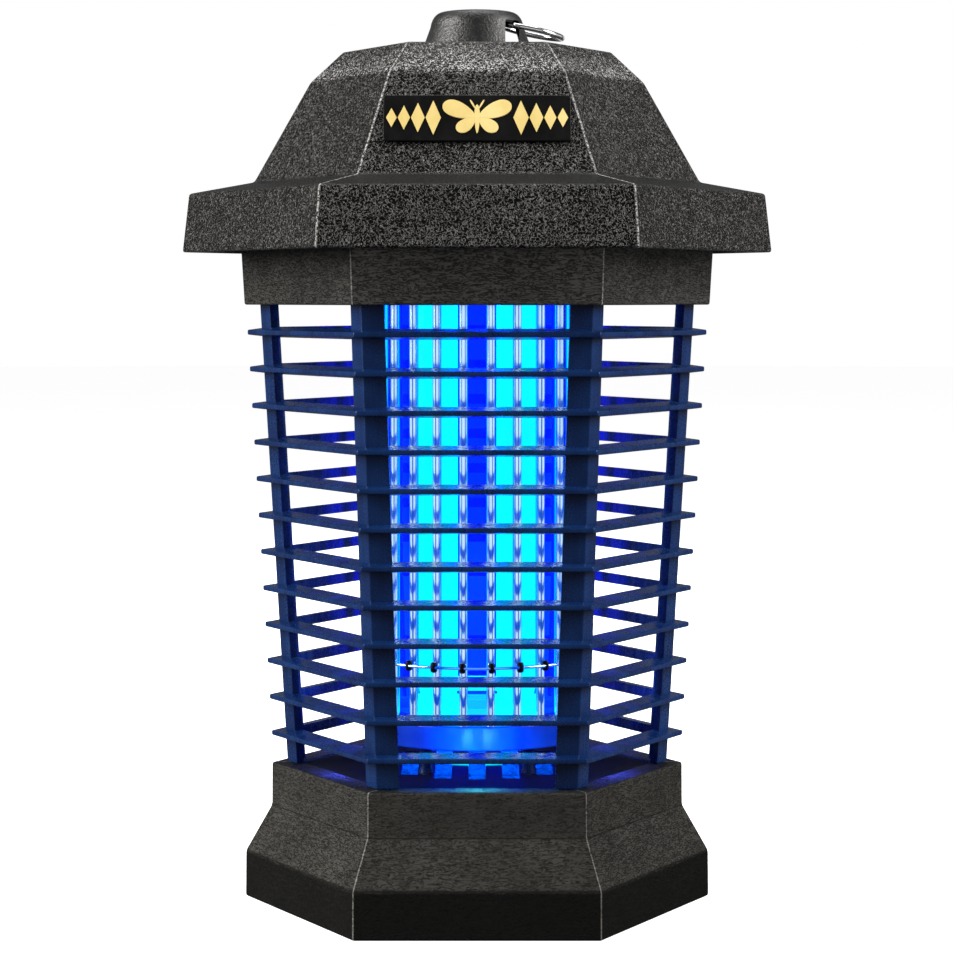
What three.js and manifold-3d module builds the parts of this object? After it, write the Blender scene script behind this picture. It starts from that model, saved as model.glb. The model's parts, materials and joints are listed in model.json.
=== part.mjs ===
// Hexagonal lantern bug zapper: a louvred cage round an electric grid and a lamp,
// on a flared base with a catch tray, under a brimmed roof with a hanging ring.
// Millimetres, +Z up, origin at the centre of the underside. Every hexagon has two
// corners on the X axis and two flats facing -Y and +Y, and is sized by its corner radius.

import * as THREE from 'three';
import { mergeVertices } from 'three/addons/utils/BufferGeometryUtils.js';
import Module from 'manifold-3d';

const wasm = await Module();
wasm.setup();

// General
const gap = 0.3;                                // clearance wherever two pieces meet
const hexRatio = 1 / Math.cos(Math.PI / 6);     // corner radius of a hexagon over its flat radius
const corners = [0, 1, 2, 3, 4, 5].map((i) => (i * Math.PI) / 3);
const overshoot = 1;                            // how far a cutter runs past the face it opens
const screwHole = 1.8;                          // radius of the holes that screws pass
const screwShank = 1.5;
const headHeight = 2;

// Base
const baseRadius = 95;
const baseTopRadius = 83.9;
const draft = 0.2;
const skirtHeight = 19;
const flareHeight = 18.8;
const neckHeight = 17.6;
const shellWall = 3;
const rimWidth = 11;                            // flat width of the rim round the deck
const footThickness = 2.6;
const rimTop = skirtHeight + flareHeight + neckHeight;
const openingRadius = baseTopRadius - rimWidth * hexRatio;

// Deck with its grille
const deckSink = 0.4;
const deckThickness = 2.2;
const ledgeWidth = 2.6;
const ledgeThickness = 2.4;
const slotCount = 5;
const slotWidth = 6.8;
const slotPitch = 13.6;
const grilleRadius = 40;
const deckTop = rimTop - deckSink;
const deckBottom = deckTop - deckThickness;

// Catch tray
const traySide = 0.5;
const trayWall = 2;
const trayFloor = 2.5;
const trayLift = 0.5;
const trayHeight = 31.5;
const gripDepth = 9;
const gripWidth = 14;
const gripLength = 24;
const gripWeb = 8;
const gripWall = 3;

// Cage
const cageHeight = 186.3;
const postInset = 6.4;                          // post corner behind the shell corner above and below
const postLeg = 8.8;
const postThickness = 3.3;
const postTenon = 4;                            // how far a post runs up inside the collar
const louvreCount = 12;
const louvreThickness = 1.9;                    // at its outer edge
const louvreRise = 1.3;                         // its top climbs this much to its inner edge
const louvreDrop = 1.1;                         // and its underside falls this much
const louvreWidth = 8.2;
const louvreProud = 5.8;                        // louvre corner in front of the post corner
const louvreFirst = 11.05;                      // rim to the first louvre's underside
const louvreLast = 12.05;                       // last louvre's underside to the collar
const collarBottom = rimTop + cageHeight;

// Collar and roof
const collarRadius = 94.2;
const collarFlare = 1.4;
const collarHeight = 21.3;
const ceilingDepth = 4.3;
const ceilingThickness = 3;
const flangeRecess = 3;
const flangeThickness = 2;
const brimRadius = 119.2;
const brimDraft = 2.8;
const brimHeight = 23.4;
const roofFootRadius = 90.1;
const shoulderRise = 4.6;
const kneeRadius = 67.3;
const slopeHeight = 39.8;
const plateauRadius = 53.9;
const chamferHeight = 12.3;
const bossRadius = 4;
const roofScrewLength = 12;
const brimTopRadius = brimRadius - brimDraft;
const brimBottom = collarBottom + collarHeight;
const brimTop = brimBottom + brimHeight;
const roofFoot = brimTop + shoulderRise;
const knee = roofFoot + slopeHeight;
const plateau = knee + chamferHeight;
const ceilingBottom = collarBottom + ceilingDepth;
const ceilingTop = ceilingBottom + ceilingThickness;
const flangeBottom = brimBottom + flangeRecess;
const flangeTop = flangeBottom + flangeThickness;
const flangeDraft = (brimDraft * (flangeTop - brimBottom)) / brimHeight;
const flangeRadius = brimRadius - flangeDraft - (shellWall + 2 * gap) * hexRatio;
const collarTopRadius = collarRadius + collarFlare;
const roofScrewCircle = (collarTopRadius + flangeRadius) / 2;

// Electric grid
const gridRadius = 41;
const rodCount = 24;
const rodRadius = 1.7;
const wireRadius = 1;
const drumLift = 11.8;
const drumHeight = 9.7;
const drumPlate = 4;
const drumRim = 2.3;
const drumWall = 1.6;
const returnRingLift = 2.5;
const standoffRadius = 2.8;
const drumBossRadius = 3.8;
const standoffInset = 6.4;                      // standoff circle inside the grid circle
const spacerHeight = 44.1;                      // spacer ring above the rim
const spacerWire = 0.6;
const beadRadius = 1.4;
const beadHeight = 4;
const holderRim = 4.3;
const holderFlange = 5;
const holderDrop = 2.5;
const holderFlangeThickness = 3.2;
const drumRadius = gridRadius + rodRadius + drumRim;
const drumBottom = deckTop + drumLift;
const drumTop = drumBottom + drumHeight;
const drumUnderside = drumTop - drumPlate;
const standoffCircle = gridRadius - standoffInset;
const holderRadius = gridRadius + rodRadius + holderRim;
const holderBottom = ceilingBottom - holderDrop;
const holderTop = ceilingTop + gap + holderFlangeThickness;
const returnRingZ = drumBottom + returnRingLift;
const liveRingZ = holderTop + 3 * wireRadius;

// Lamp, sleeve and cradle
const tubeRadius = 8;
const tubeGlass = 1;
const tubeSpacing = 31.6;
const bridgeRadius = 3;
const bridgeRise = 9;
const cradleFloor = 1.5;
const cupWall = 1;
const cupHeight = 4.4;
const sleeveClear = 3.3;                        // sleeve inside the rods
const sleeveWall = 1.2;
const capMargin = 1.2;
const capDepth = 24;
const capHeight = 15;
const pinRadius = 1.5;
const pinLength = 6;
const sleeveRadius = gridRadius - rodRadius - sleeveClear;
const sleeveBottom = drumTop + gap;
const sleeveTop = holderTop;
const cradleBottom = drumTop + gap;
const lampBottom = cradleBottom + cradleFloor + gap;
const lampTop = ceilingBottom + gap;
const capWidth = tubeSpacing + 2 * (tubeRadius + capMargin);
const capBottom = lampTop + gap;
const capTop = capBottom + capHeight;

// Lamp holder, circuit board and what stands on it
const pocketWall = 4;
const holderBodyHeight = 20;
const bridgeArm = 3;
const armDrop = 9;
const bridgeDepth = 16;
const pegRadius = 2.5;
const pegHeight = 3;
const boardWidth = 90;
const boardDepth = 60;
const boardThickness = 1.6;
const transformerSize = { width: 30, depth: 26, core: 16, coil: 9, height: 24, x: -22 };
const canSize = { radius: 6, height: 21, x: 14, y: 14 };
const filmSize = { width: 26, depth: 9, height: 14, x: 20, y: -12 };
const holderBodyWidth = capWidth + 2 * (gap + pocketWall);
const holderBodyDepth = capDepth + 2 * (gap + pocketWall);
const holderBodyBottom = liveRingZ + wireRadius + gap;
const holderBodyTop = holderBodyBottom + holderBodyHeight;
const bridgeReach = holderRadius + holderFlange + 2 * bridgeArm;
const boardBottom = holderBodyTop + pegHeight + gap;
const boardTop = boardBottom + boardThickness;

// Knob, its screw and the hanging ring
const knobRadius = 22;
const knobShoulderRadius = 18.8;
const knobShoulder = 9.2;
const knobHeight = 15.4;
const knobCrownRadius = 13;
const knobWall = 2.8;
const knobBoss = 4.5;
const knobBossBore = 2.1;
const knobScrewShank = 1.8;
const knobScrewHead = 4;
const ringRadius = 13;
const ringWire = 1.1;
const ringTilt = (12 * Math.PI) / 180;
const ringInside = 6.4;                         // how far the ring runs inward of its pivot line
const windowWidth = 5.6;
const windowRise = 2.2;
const knobBottom = plateau + gap;
const knobTop = knobBottom + knobHeight;
const ringReach = ringRadius - ringInside;
const pivotX = Math.sqrt(knobShoulderRadius ** 2 - ringRadius ** 2 + ringReach ** 2);
const pivotZ = knobBottom + knobShoulder;
const knobCeiling = pivotZ + ringInside * Math.sin(ringTilt) + ringWire + gap;

// Name plate and cord gland
const plateWidth = 71;
const plateHeight = 19.8;
const plateThickness = 1.2;
const plateCorner = 1.5;
const plateRise = 20.8;                         // roof foot to the plate's middle
const glandBore = 3.3;
const glandShank = 4.6;
const glandFlange = 6.2;
const glandNose = 4.2;
const glandLength = 11;
const glandNutRadius = 7.3;
const glandZ = (ceilingTop + flangeBottom) / 2;


// ---- solids and placing

function toSolid(geometry) {
  const plain = new THREE.BufferGeometry();
  const source = geometry.index ? geometry.toNonIndexed() : geometry;
  plain.setAttribute('position', source.getAttribute('position'));
  const merged = mergeVertices(plain, 1e-3);
  return new wasm.Manifold(new wasm.Mesh({
    numProp: 3,
    vertProperties: new Float32Array(merged.attributes.position.array),
    triVerts: new Uint32Array(merged.index.array),
  }));
}

function toGeometry(solid) {
  const mesh = solid.getMesh();
  const geometry = new THREE.BufferGeometry();
  geometry.setAttribute('position', new THREE.BufferAttribute(mesh.vertProperties, 3));
  geometry.setIndex(new THREE.BufferAttribute(mesh.triVerts, 1));
  return geometry;
}

function join(...geometries) {
  return toGeometry(geometries.map(toSolid).reduce((all, next) => all.add(next)));
}

function cut(geometry, ...cutters) {
  return toGeometry(cutters.map(toSolid).reduce((left, cutter) => left.subtract(cutter), toSolid(geometry)));
}

// A profile of [radius, height] pairs, counter-clockwise, turned about Z
function turned(profile, segments, start) {
  const points = profile.map(([radius, z]) => new THREE.Vector2(radius, z));
  const closed = profile[0][0] > 0 ? [...points, points[0]] : points;
  return new THREE.LatheGeometry(closed, segments, start).rotateX(Math.PI / 2);
}

function round(profile, segments = 24) {
  return turned(profile, segments, 0);
}

function hexagonal(profile) {
  return turned(profile, 6, Math.PI / 6);
}

function rod(radius, low, high, x = 0, y = 0, segments = 10) {
  return round([[0, low], [radius, low], [radius, high], [0, high]], segments).translate(x, y, 0);
}

function block(width, depth, low, high, x = 0, y = 0) {
  return new THREE.BoxGeometry(width, depth, high - low).translate(x, y, (low + high) / 2);
}

function wireRing(radius, wire, z, sides = 6, steps = rodCount) {
  return new THREE.TorusGeometry(radius, wire, sides, steps).translate(0, 0, z);
}

function around(radius, angle) {
  return [radius * Math.cos(angle), radius * Math.sin(angle)];
}

// The inner skin of a hexagonal outline, a wall thickness inside each of its faces
function innerSkin(outline, wall) {
  const flat = outline.map(([radius, z]) => new THREE.Vector2(radius / hexRatio, z));
  const inward = flat.slice(1).map((point, i) => {
    const along = point.clone().sub(flat[i]).normalize();
    return new THREE.Vector2(-along.y, along.x);
  });
  return flat.map((point, i) => {
    const before = inward[i - 1] ?? new THREE.Vector2(-1, 0);
    const after = inward[i] ?? new THREE.Vector2(outline[i][0] > 0 ? -1 : 0, outline[i][0] > 0 ? 0 : -1);
    const step = before.clone().add(after).multiplyScalar(wall / (1 + before.dot(after)));
    return [(point.x + step.x) * hexRatio, point.y + step.y];
  });
}

// Value on the straight line through two [position, value] points
function onLine(position, [[p0, v0], [p1, v1]]) {
  return v0 + ((v1 - v0) * (position - p0)) / (p1 - p0);
}

// ---- finishes

function finish(color, roughness, metalness = 0) {
  return new THREE.MeshStandardMaterial({ color, roughness, metalness });
}

const grainedPlastic = finish(0x2b2926, 0.55);
const roofPlastic = finish(0x3a3936, 0.5);
const cagePlastic = finish(0x12244b, 0.45);
const deckPlastic = finish(0x07080c, 0.5);
const drumPlastic = finish(0x1b55d6, 0.3);
const clearPlastic = finish(0x58d8f0, 0.25);
const glowGlass = finish(0x10f8fa, 0.2);
const sleevePlastic = finish(0x0430fe, 0.2);
const whitePlastic = finish(0xd8d8d2, 0.5);
const steelWire = finish(0xc0cfdd, 0.25, 1);
const screwSteel = finish(0x8e9094, 0.35, 1);
const plateBlack = finish(0x080808, 0.4);
const knobPlastic = finish(0x0c0c0c, 0.2);
const boardGreen = finish(0x1d5a34, 0.6);
const coilBrown = finish(0x6a4420, 0.6);
const capacitorBlue = finish(0x203a78, 0.45);

// ---- base, deck and tray

const baseOutline = [
  [baseRadius, 0],
  [baseRadius - draft, skirtHeight],
  [baseTopRadius + draft, skirtHeight + flareHeight],
  [baseTopRadius, rimTop],
];
const ledgeTop = deckBottom - gap;
const ledgeRadius = openingRadius - ledgeWidth * hexRatio;
const footOpening = baseTopRadius - shellWall * hexRatio;      // the tray drops straight out of the neck

function baseShell() {
  const inner = innerSkin(baseOutline, shellWall).reverse();
  const ledgeBottom = ledgeTop - ledgeThickness;
  return hexagonal([
    ...baseOutline,
    [openingRadius, rimTop],
    [openingRadius, ledgeTop],
    [ledgeRadius, ledgeTop],
    [ledgeRadius, ledgeBottom],
    [inner[0][0], ledgeBottom],
    ...inner.slice(1, 3),
    [inner[3][0], footThickness],
    [footOpening, footThickness],
    [footOpening, 0],
  ]);
}

// Bars of the grille run along Y; the slots between them end on a circle
function slotCentres() {
  return Array.from({ length: slotCount }, (_, i) => (i - (slotCount - 1) / 2) * slotPitch);
}

function hexagonShape(radius) {
  return new THREE.Shape(corners.map((angle) => new THREE.Vector2(...around(radius, angle))));
}

function standoffPlaces() {
  const x = 1.5 * slotPitch;
  const y = Math.sqrt(standoffCircle ** 2 - x ** 2);
  return [[x, y], [-x, y], [-x, -y], [x, -y]];
}

function deckGrille() {
  const shape = hexagonShape(openingRadius - gap * hexRatio);
  for (const x of slotCentres()) {
    const reach = Math.sqrt(grilleRadius ** 2 - x ** 2);
    const half = slotWidth / 2;
    shape.holes.push(new THREE.Path([
      new THREE.Vector2(x - half, -reach),
      new THREE.Vector2(x - half, reach),
      new THREE.Vector2(x + half, reach),
      new THREE.Vector2(x + half, -reach),
    ]));
  }
  for (const [x, y] of standoffPlaces()) {
    shape.holes.push(new THREE.Path().absarc(x, y, screwHole, 0, 2 * Math.PI, true));
  }
  const settings = { depth: deckThickness, bevelEnabled: false, curveSegments: 6 };
  return new THREE.ExtrudeGeometry(shape, settings).translate(0, 0, deckBottom);
}

function catchTray() {
  const outer = footOpening - traySide * hexRatio;
  const inner = outer - trayWall * hexRatio;
  const floorTop = trayLift + trayFloor;
  const gripTop = trayLift + gripDepth + gripWall;
  const pocketShift = (gripWeb + gripWidth) / 2;
  const pan = hexagonal([
    [0, trayLift],
    [outer, trayLift],
    [outer, trayLift + trayHeight],
    [inner, trayLift + trayHeight],
    [inner, floorTop],
    [0, floorTop],
  ]);
  const mound = block(
    gripWeb + 2 * (gripWidth + gripWall), gripLength + 2 * gripWall, floorTop - trayFloor / 2, gripTop,
  );
  const pockets = [-pocketShift, pocketShift].map((x) => (
    block(gripWidth, gripLength, trayLift - overshoot, trayLift + gripDepth, x)
  ));
  return cut(join(pan, mound), ...pockets);
}

// ---- cage: six corner posts and a stack of louvres

const postBottomRadius = baseTopRadius - postInset;
const postTopRadius = collarRadius - postInset;
const postLean = (postTopRadius - postBottomRadius) / cageHeight;

function postRadius(z) {
  return postBottomRadius + postLean * (z - rimTop);
}

// An angle section of 120 degrees, its outer corner on the X axis, grown by a margin all round
function postSection(margin) {
  const outer = new THREE.Vector2(1 / hexRatio, 0.5);
  const along = new THREE.Vector2(-0.5, 1 / hexRatio);
  const at = (out, length) => outer.clone().multiplyScalar(out).addScaledVector(along, length);
  const reach = postLeg + margin;
  const depth = postThickness + margin;
  const half = [at(margin, reach), at(-depth, reach)];
  const mirrored = half.map((point) => new THREE.Vector2(point.x, -point.y)).reverse();
  return new THREE.Shape([
    new THREE.Vector2(margin * hexRatio, 0),
    ...half,
    new THREE.Vector2(-depth * hexRatio, 0),
    ...mirrored,
  ]);
}

function post(low, high, margin = 0) {
  const straight = new THREE.ExtrudeGeometry(postSection(margin), { depth: high - low, bevelEnabled: false });
  const lean = new THREE.Matrix4().makeShear(0, 0, 0, 0, postLean, 0);
  return straight.applyMatrix4(lean).translate(postRadius(low), 0, low);
}

const postRoom = corners.map((angle) => (
  post(rimTop - overshoot, collarBottom + overshoot, gap).rotateZ(angle)
));

function louvre(index) {
  const spacing = (cageHeight - louvreFirst - louvreLast) / (louvreCount - 1);
  const low = rimTop + louvreFirst + index * spacing;
  const outer = postRadius(low) + louvreProud;
  const inner = outer - louvreWidth * hexRatio;
  const high = low + louvreThickness;
  const section = [[inner, low - louvreDrop], [outer, low], [outer, high], [inner, high + louvreRise]];
  return cut(hexagonal(section), ...postRoom);
}

// ---- electric grid between the drum and the upper holder

function rodAngles(parity) {
  const step = (2 * Math.PI) / rodCount;
  return Array.from({ length: rodCount }, (_, i) => (i + 0.5) * step).filter((_, i) => i % 2 === parity);
}

function rods(radius, low, high, angles, segments = 6) {
  return angles.map((angle) => rod(radius, low, high, ...around(gridRadius, angle), segments));
}

const everyRodAngle = [...rodAngles(0), ...rodAngles(1)];

// Lower ends stop in the drum's plate and the joining ring lies above the upper holder
function liveGrid() {
  const bars = rods(rodRadius, drumUnderside + gap, liveRingZ, rodAngles(0));
  return join(wireRing(gridRadius, wireRadius, liveRingZ), ...bars);
}

// The joining ring lies inside the drum and the upper ends stop in the upper holder
function returnGrid() {
  const bars = rods(rodRadius, returnRingZ, holderTop - 2 * wireRadius, rodAngles(1));
  return join(wireRing(gridRadius, wireRadius, returnRingZ), ...bars);
}

function spacerRing() {
  const z = rimTop + spacerHeight;
  const circle = gridRadius + rodRadius + gap + beadRadius;
  const beads = everyRodAngle.map((angle) => (
    rod(beadRadius, z - beadHeight / 2, z + beadHeight / 2, ...around(circle, angle), 6)
  ));
  return join(wireRing(circle, spacerWire, z, 4), ...beads);
}

function lowerDrum() {
  const skirt = drumRadius - drumWall;
  const body = round([
    [0, drumUnderside],
    [skirt, drumUnderside],
    [skirt, drumBottom],
    [drumRadius, drumBottom],
    [drumRadius, drumTop],
    [0, drumTop],
  ], 36);
  const bosses = standoffPlaces().map((place) => (
    rod(drumBossRadius, drumBottom, drumUnderside + drumPlate / 2, ...place)
  ));
  const screwRoom = standoffPlaces().map((place) => (
    rod(screwHole, drumBottom - overshoot, drumUnderside + drumPlate / 2, ...place)
  ));
  const bores = rods(rodRadius + gap, drumUnderside - overshoot, drumTop + overshoot, everyRodAngle);
  return cut(join(body, ...bosses), ...screwRoom, ...bores);
}

function standoff([x, y]) {
  const profile = [
    [screwHole, deckTop + gap],
    [standoffRadius, deckTop + gap],
    [standoffRadius, drumBottom - gap],
    [screwHole, drumBottom - gap],
  ];
  return round(profile, 10).translate(x, y, 0);
}

function upperHolder() {
  const inner = sleeveRadius + gap;
  const flange = ceilingTop + gap;
  const body = round([
    [inner, holderBottom],
    [holderRadius, holderBottom],
    [holderRadius, flange],
    [holderRadius + holderFlange, flange],
    [holderRadius + holderFlange, holderTop],
    [inner, holderTop],
  ], 36);
  return cut(body, ...rods(rodRadius + gap, holderBottom - overshoot, holderTop + overshoot, everyRodAngle));
}

// ---- lamp, its cradle and its sleeve

// The outside or the bore of one leg of the lamp, a tube with a round foot
function lampLeg(x, radius, foot, top) {
  const steps = 4;
  const arc = Array.from({ length: steps + 1 }, (_, i) => {
    const angle = (i / steps) * (Math.PI / 2);
    return [radius * Math.sin(angle), foot + radius * (1 - Math.cos(angle))];
  });
  return round([...arc, [radius, top], [0, top]], 16).translate(x, 0, 0);
}

function lampBridge(radius) {
  const length = tubeSpacing;
  return new THREE.CylinderGeometry(radius, radius, length, 12)
    .rotateZ(Math.PI / 2)
    .translate(0, 0, lampBottom + bridgeRise);
}

function uvLamp() {
  const legs = [-tubeSpacing / 2, tubeSpacing / 2];
  const outside = legs.map((x) => lampLeg(x, tubeRadius, lampBottom, lampTop));
  const bores = legs.map((x) => (
    lampLeg(x, tubeRadius - tubeGlass, lampBottom + tubeGlass, lampTop + overshoot)
  ));
  return cut(join(...outside, lampBridge(bridgeRadius)), ...bores, lampBridge(bridgeRadius - tubeGlass));
}

function lampCap() {
  const pins = [-tubeSpacing / 2, tubeSpacing / 2].map((x) => (
    rod(pinRadius, capTop - overshoot, capTop + pinLength, x)
  ));
  return join(block(capWidth, capDepth, capBottom, capTop), ...pins);
}

function lampHolder() {
  const armTop = holderBodyTop - armDrop;
  const footX = bridgeReach - bridgeArm / 2;
  const body = block(holderBodyWidth, holderBodyDepth, holderBodyBottom, holderBodyTop);
  const arm = block(2 * bridgeReach, bridgeDepth, armTop - bridgeArm, armTop);
  const feet = [-footX, footX].map((x) => block(bridgeArm, bridgeDepth, ceilingTop + gap, armTop, x));
  const pegs = boardPegs().map((place) => (
    rod(pegRadius, holderBodyTop - overshoot, holderBodyTop + pegHeight, ...place)
  ));
  const pocket = block(
    capWidth + 2 * gap, capDepth + 2 * gap, holderBodyBottom - overshoot, capTop + gap,
  );
  const pinRoom = [-tubeSpacing / 2, tubeSpacing / 2].map((x) => (
    rod(pinRadius + gap, capTop - overshoot, capTop + pinLength + gap, x)
  ));
  return cut(join(body, arm, ...feet, ...pegs), pocket, ...pinRoom);
}

function lampSleeve() {
  const inner = sleeveRadius - sleeveWall;
  return round([
    [inner, sleeveBottom],
    [sleeveRadius, sleeveBottom],
    [sleeveRadius, sleeveTop],
    [inner, sleeveTop],
  ], 36);
}

function lampCradle() {
  const floorRadius = sleeveRadius - sleeveWall - gap;
  const floorTop = cradleBottom + cradleFloor;
  const root = floorTop - cradleFloor / 2;
  const cupTop = floorTop + cupHeight;
  const lugTop = cupTop - cupWall;
  const legs = [-tubeSpacing / 2, tubeSpacing / 2];
  const cupRadius = tubeRadius + gap + cupWall;
  const lugX = (tubeSpacing / 2 + cupRadius + floorRadius) / 2;
  const disc = rod(floorRadius, cradleBottom, floorTop, 0, 0, 36);
  const cups = legs.map((x) => rod(cupRadius, root, cupTop, x, 0, 16));
  const wells = legs.map((x) => rod(tubeRadius + gap, floorTop, cupTop + overshoot, x, 0, 16));
  const middle = block(tubeSpacing - 2 * cupRadius + cupWall, 2 * tubeRadius, root, lugTop);
  const lugs = [-lugX, lugX].map((x) => block(floorRadius - lugX, tubeRadius, root, lugTop, x));
  return cut(join(disc, ...cups, middle, ...lugs), ...wells);
}

// ---- circuit board

function boardPegs() {
  const x = holderBodyWidth / 2 - 2 * pegRadius;
  const y = holderBodyDepth / 2 - 2 * pegRadius;
  return [[x, y], [-x, y], [-x, -y], [x, -y]];
}

function circuitBoard() {
  return block(boardWidth, boardDepth, boardBottom, boardTop);
}

// Pieces on the board stand a gap above it, beside each other
const partsBottom = boardTop + gap;

function transformer() {
  const { width, depth, core, coil, height, x } = transformerSize;
  const body = block(width, depth, partsBottom, partsBottom + core, x);
  return join(body, rod(coil, partsBottom + core - overshoot, partsBottom + height, x, 0, 16));
}

function smoothingCapacitor() {
  const { radius, height, x, y } = canSize;
  const rimBottom = partsBottom + height - overshoot;
  return round([
    [0, partsBottom],
    [radius, partsBottom],
    [radius, rimBottom],
    [radius - overshoot / 2, rimBottom + overshoot],
    [0, rimBottom + overshoot],
  ], 16).translate(x, y, 0);
}

function gridCapacitor() {
  const { width, depth, height, x, y } = filmSize;
  return block(width, depth, partsBottom, partsBottom + height, x, y);
}

// ---- collar and roof

function collarAt(z) {
  return onLine(z, [[collarBottom, collarRadius], [flangeBottom, collarTopRadius]]);
}

const wallAtGland = collarAt(glandZ) / hexRatio;
const wallSlope = collarFlare / hexRatio / (flangeBottom - collarBottom);
const glandSeat = gap + glandFlange * wallSlope;

function collar() {
  const wall = shellWall * hexRatio;
  const body = hexagonal([
    [0, ceilingBottom],
    [collarRadius - wall, ceilingBottom],
    [collarRadius - wall, collarBottom],
    [collarRadius, collarBottom],
    [collarTopRadius, flangeBottom],
    [flangeRadius, flangeBottom],
    [flangeRadius, flangeTop],
    [collarAt(flangeTop) - wall, flangeTop],
    [collarAt(ceilingTop) - wall, ceilingTop],
    [0, ceilingTop],
  ]);
  const throat = rod(holderRadius + 2 * gap, ceilingBottom - overshoot, ceilingTop + overshoot, 0, 0, 36);
  const glandHole = rod(glandShank + gap, wallAtGland - 2 * shellWall, wallAtGland + overshoot, 0, 0, 12)
    .rotateX(-Math.PI / 2)
    .translate(0, 0, glandZ);
  const screwHoles = roofScrewPlaces().map((place) => (
    rod(screwHole, flangeBottom - overshoot, flangeTop + overshoot, ...place, 12)
  ));
  return cut(body, throat, glandHole, ...screwHoles);
}

const roofOutline = [
  [brimRadius, brimBottom],
  [brimTopRadius, brimTop],
  [roofFootRadius, roofFoot],
  [kneeRadius, knee],
  [plateauRadius, plateau],
  [0, plateau],
];

function roofScrewPlaces() {
  return corners.map((angle) => around(roofScrewCircle, angle));
}

function roofShell() {
  const skin = innerSkin(roofOutline, shellWall).reverse();
  const bossTop = onLine(roofScrewCircle, roofOutline.slice(1, 3)) - shellWall;
  const bosses = roofScrewPlaces().map((place) => rod(bossRadius, flangeTop + gap, bossTop, ...place));
  const bores = roofScrewPlaces().map((place) => (
    rod(screwHole, flangeTop, flangeTop + roofScrewLength, ...place, 12)
  ));
  const knobHole = rod(knobBossBore, plateau - shellWall - overshoot, plateau + overshoot);
  return cut(join(hexagonal([...roofOutline, ...skin]), ...bosses), ...bores, knobHole);
}

function namePlate() {
  const corner = plateCorner;
  const x = plateWidth / 2 - corner;
  const y = plateHeight / 2 - corner;
  const shape = new THREE.Shape()
    .absarc(x, y, corner, 0, Math.PI / 2)
    .absarc(-x, y, corner, Math.PI / 2, Math.PI)
    .absarc(-x, -y, corner, Math.PI, 1.5 * Math.PI)
    .absarc(x, -y, corner, 1.5 * Math.PI, 2 * Math.PI);
  return new THREE.ExtrudeGeometry(shape, { depth: plateThickness, bevelEnabled: false, curveSegments: 4 });
}

// ---- knob and hanging ring

function topKnob() {
  const crown = new THREE.QuadraticBezierCurve(
    new THREE.Vector2(knobShoulderRadius, pivotZ),
    new THREE.Vector2(knobShoulderRadius - 1, knobTop),
    new THREE.Vector2(knobCrownRadius, knobTop),
  ).getPoints(5).map(({ x, y }) => [x, y]);
  const body = round([
    [0, knobBottom + gap],
    [knobBoss, knobBottom + gap],
    [knobBoss, knobCeiling],
    [knobShoulderRadius - 1.4 * knobWall, knobCeiling],
    [knobShoulderRadius - knobWall, pivotZ],
    [knobRadius - knobWall, knobBottom],
    [knobRadius, knobBottom],
    ...crown,
    [0, knobTop],
  ], 28);
  const bore = rod(knobBossBore, knobBottom - overshoot, pivotZ);
  const low = pivotZ - ringInside - ringWire;
  const windows = [-1, 1].map((side) => block(
    windowWidth, knobRadius, low, pivotZ + windowRise,
    pivotX - windowWidth / 5, side * (knobBoss + knobRadius / 2 + gap),
  ));
  return cut(body, bore, ...windows);
}

// ---- screws and the cord gland

function screw(shank, head, low, length) {
  const neck = low + headHeight;
  const tip = neck + length;
  return round([[0, low], [head, low], [head, neck], [shank, neck], [shank, tip], [0, tip]], 10);
}

// Turned about its own axis, with the wall's outer face at zero
function cordGland() {
  const shoulder = glandSeat + flangeThickness;
  return round([
    [glandBore, -shellWall * 3],
    [glandShank, -shellWall * 3],
    [glandShank, glandSeat],
    [glandFlange, glandSeat],
    [glandFlange, shoulder],
    [glandShank + gap, shoulder],
    [glandNose, glandLength],
    [glandBore, glandLength],
  ], 12);
}

function glandNut() {
  const high = -shellWall - glandSeat;
  const low = high - shellWall;
  const hexagon = hexagonal([[0, low], [glandNutRadius, low], [glandNutRadius, high], [0, high]]);
  return cut(hexagon, rod(glandShank + gap, low - overshoot, high + overshoot, 0, 0, 12));
}

// ---- assembly

const zapper = new THREE.Group();

function add(name, geometry, material, parent = zapper) {
  const mesh = new THREE.Mesh(geometry, material);
  mesh.name = name;
  parent.add(mesh);
  return mesh;
}

add('base_shell', baseShell(), grainedPlastic);
add('catch_tray', catchTray(), deckPlastic);
add('deck_grille', deckGrille(), deckPlastic);

const postGeometry = post(rimTop + gap, collarBottom + postTenon);
corners.forEach((angle, i) => {
  add(`cage_post_${i + 1}`, postGeometry, cagePlastic).rotation.z = angle;
});
for (let i = 0; i < louvreCount; i += 1) {
  add(`cage_louvre_${i + 1}`, louvre(i), cagePlastic);
}

add('lower_grid_drum', lowerDrum(), drumPlastic);
standoffPlaces().forEach(([x, y], i) => {
  const fixing = screw(screwShank, standoffRadius, deckBottom - gap - headHeight, drumUnderside - deckBottom);
  add(`drum_standoff_${i + 1}`, standoff([x, y]), cagePlastic);
  add(`standoff_screw_${i + 1}`, fixing, screwSteel).position.set(x, y, 0);
});
add('live_grid', liveGrid(), steelWire);
add('return_grid', returnGrid(), steelWire);
add('grid_spacer_ring', spacerRing(), steelWire);
add('upper_grid_holder', upperHolder(), whitePlastic);

add('uv_lamp', uvLamp(), glowGlass);
add('lamp_cradle', lampCradle(), clearPlastic);
add('lamp_sleeve', lampSleeve(), sleevePlastic);
add('lamp_cap', lampCap(), whitePlastic);
add('lamp_holder', lampHolder(), whitePlastic);

add('circuit_board', circuitBoard(), boardGreen);
add('hv_transformer', transformer(), coilBrown);
add('smoothing_capacitor', smoothingCapacitor(), capacitorBlue);
add('grid_capacitor', gridCapacitor(), capacitorBlue);

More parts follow.
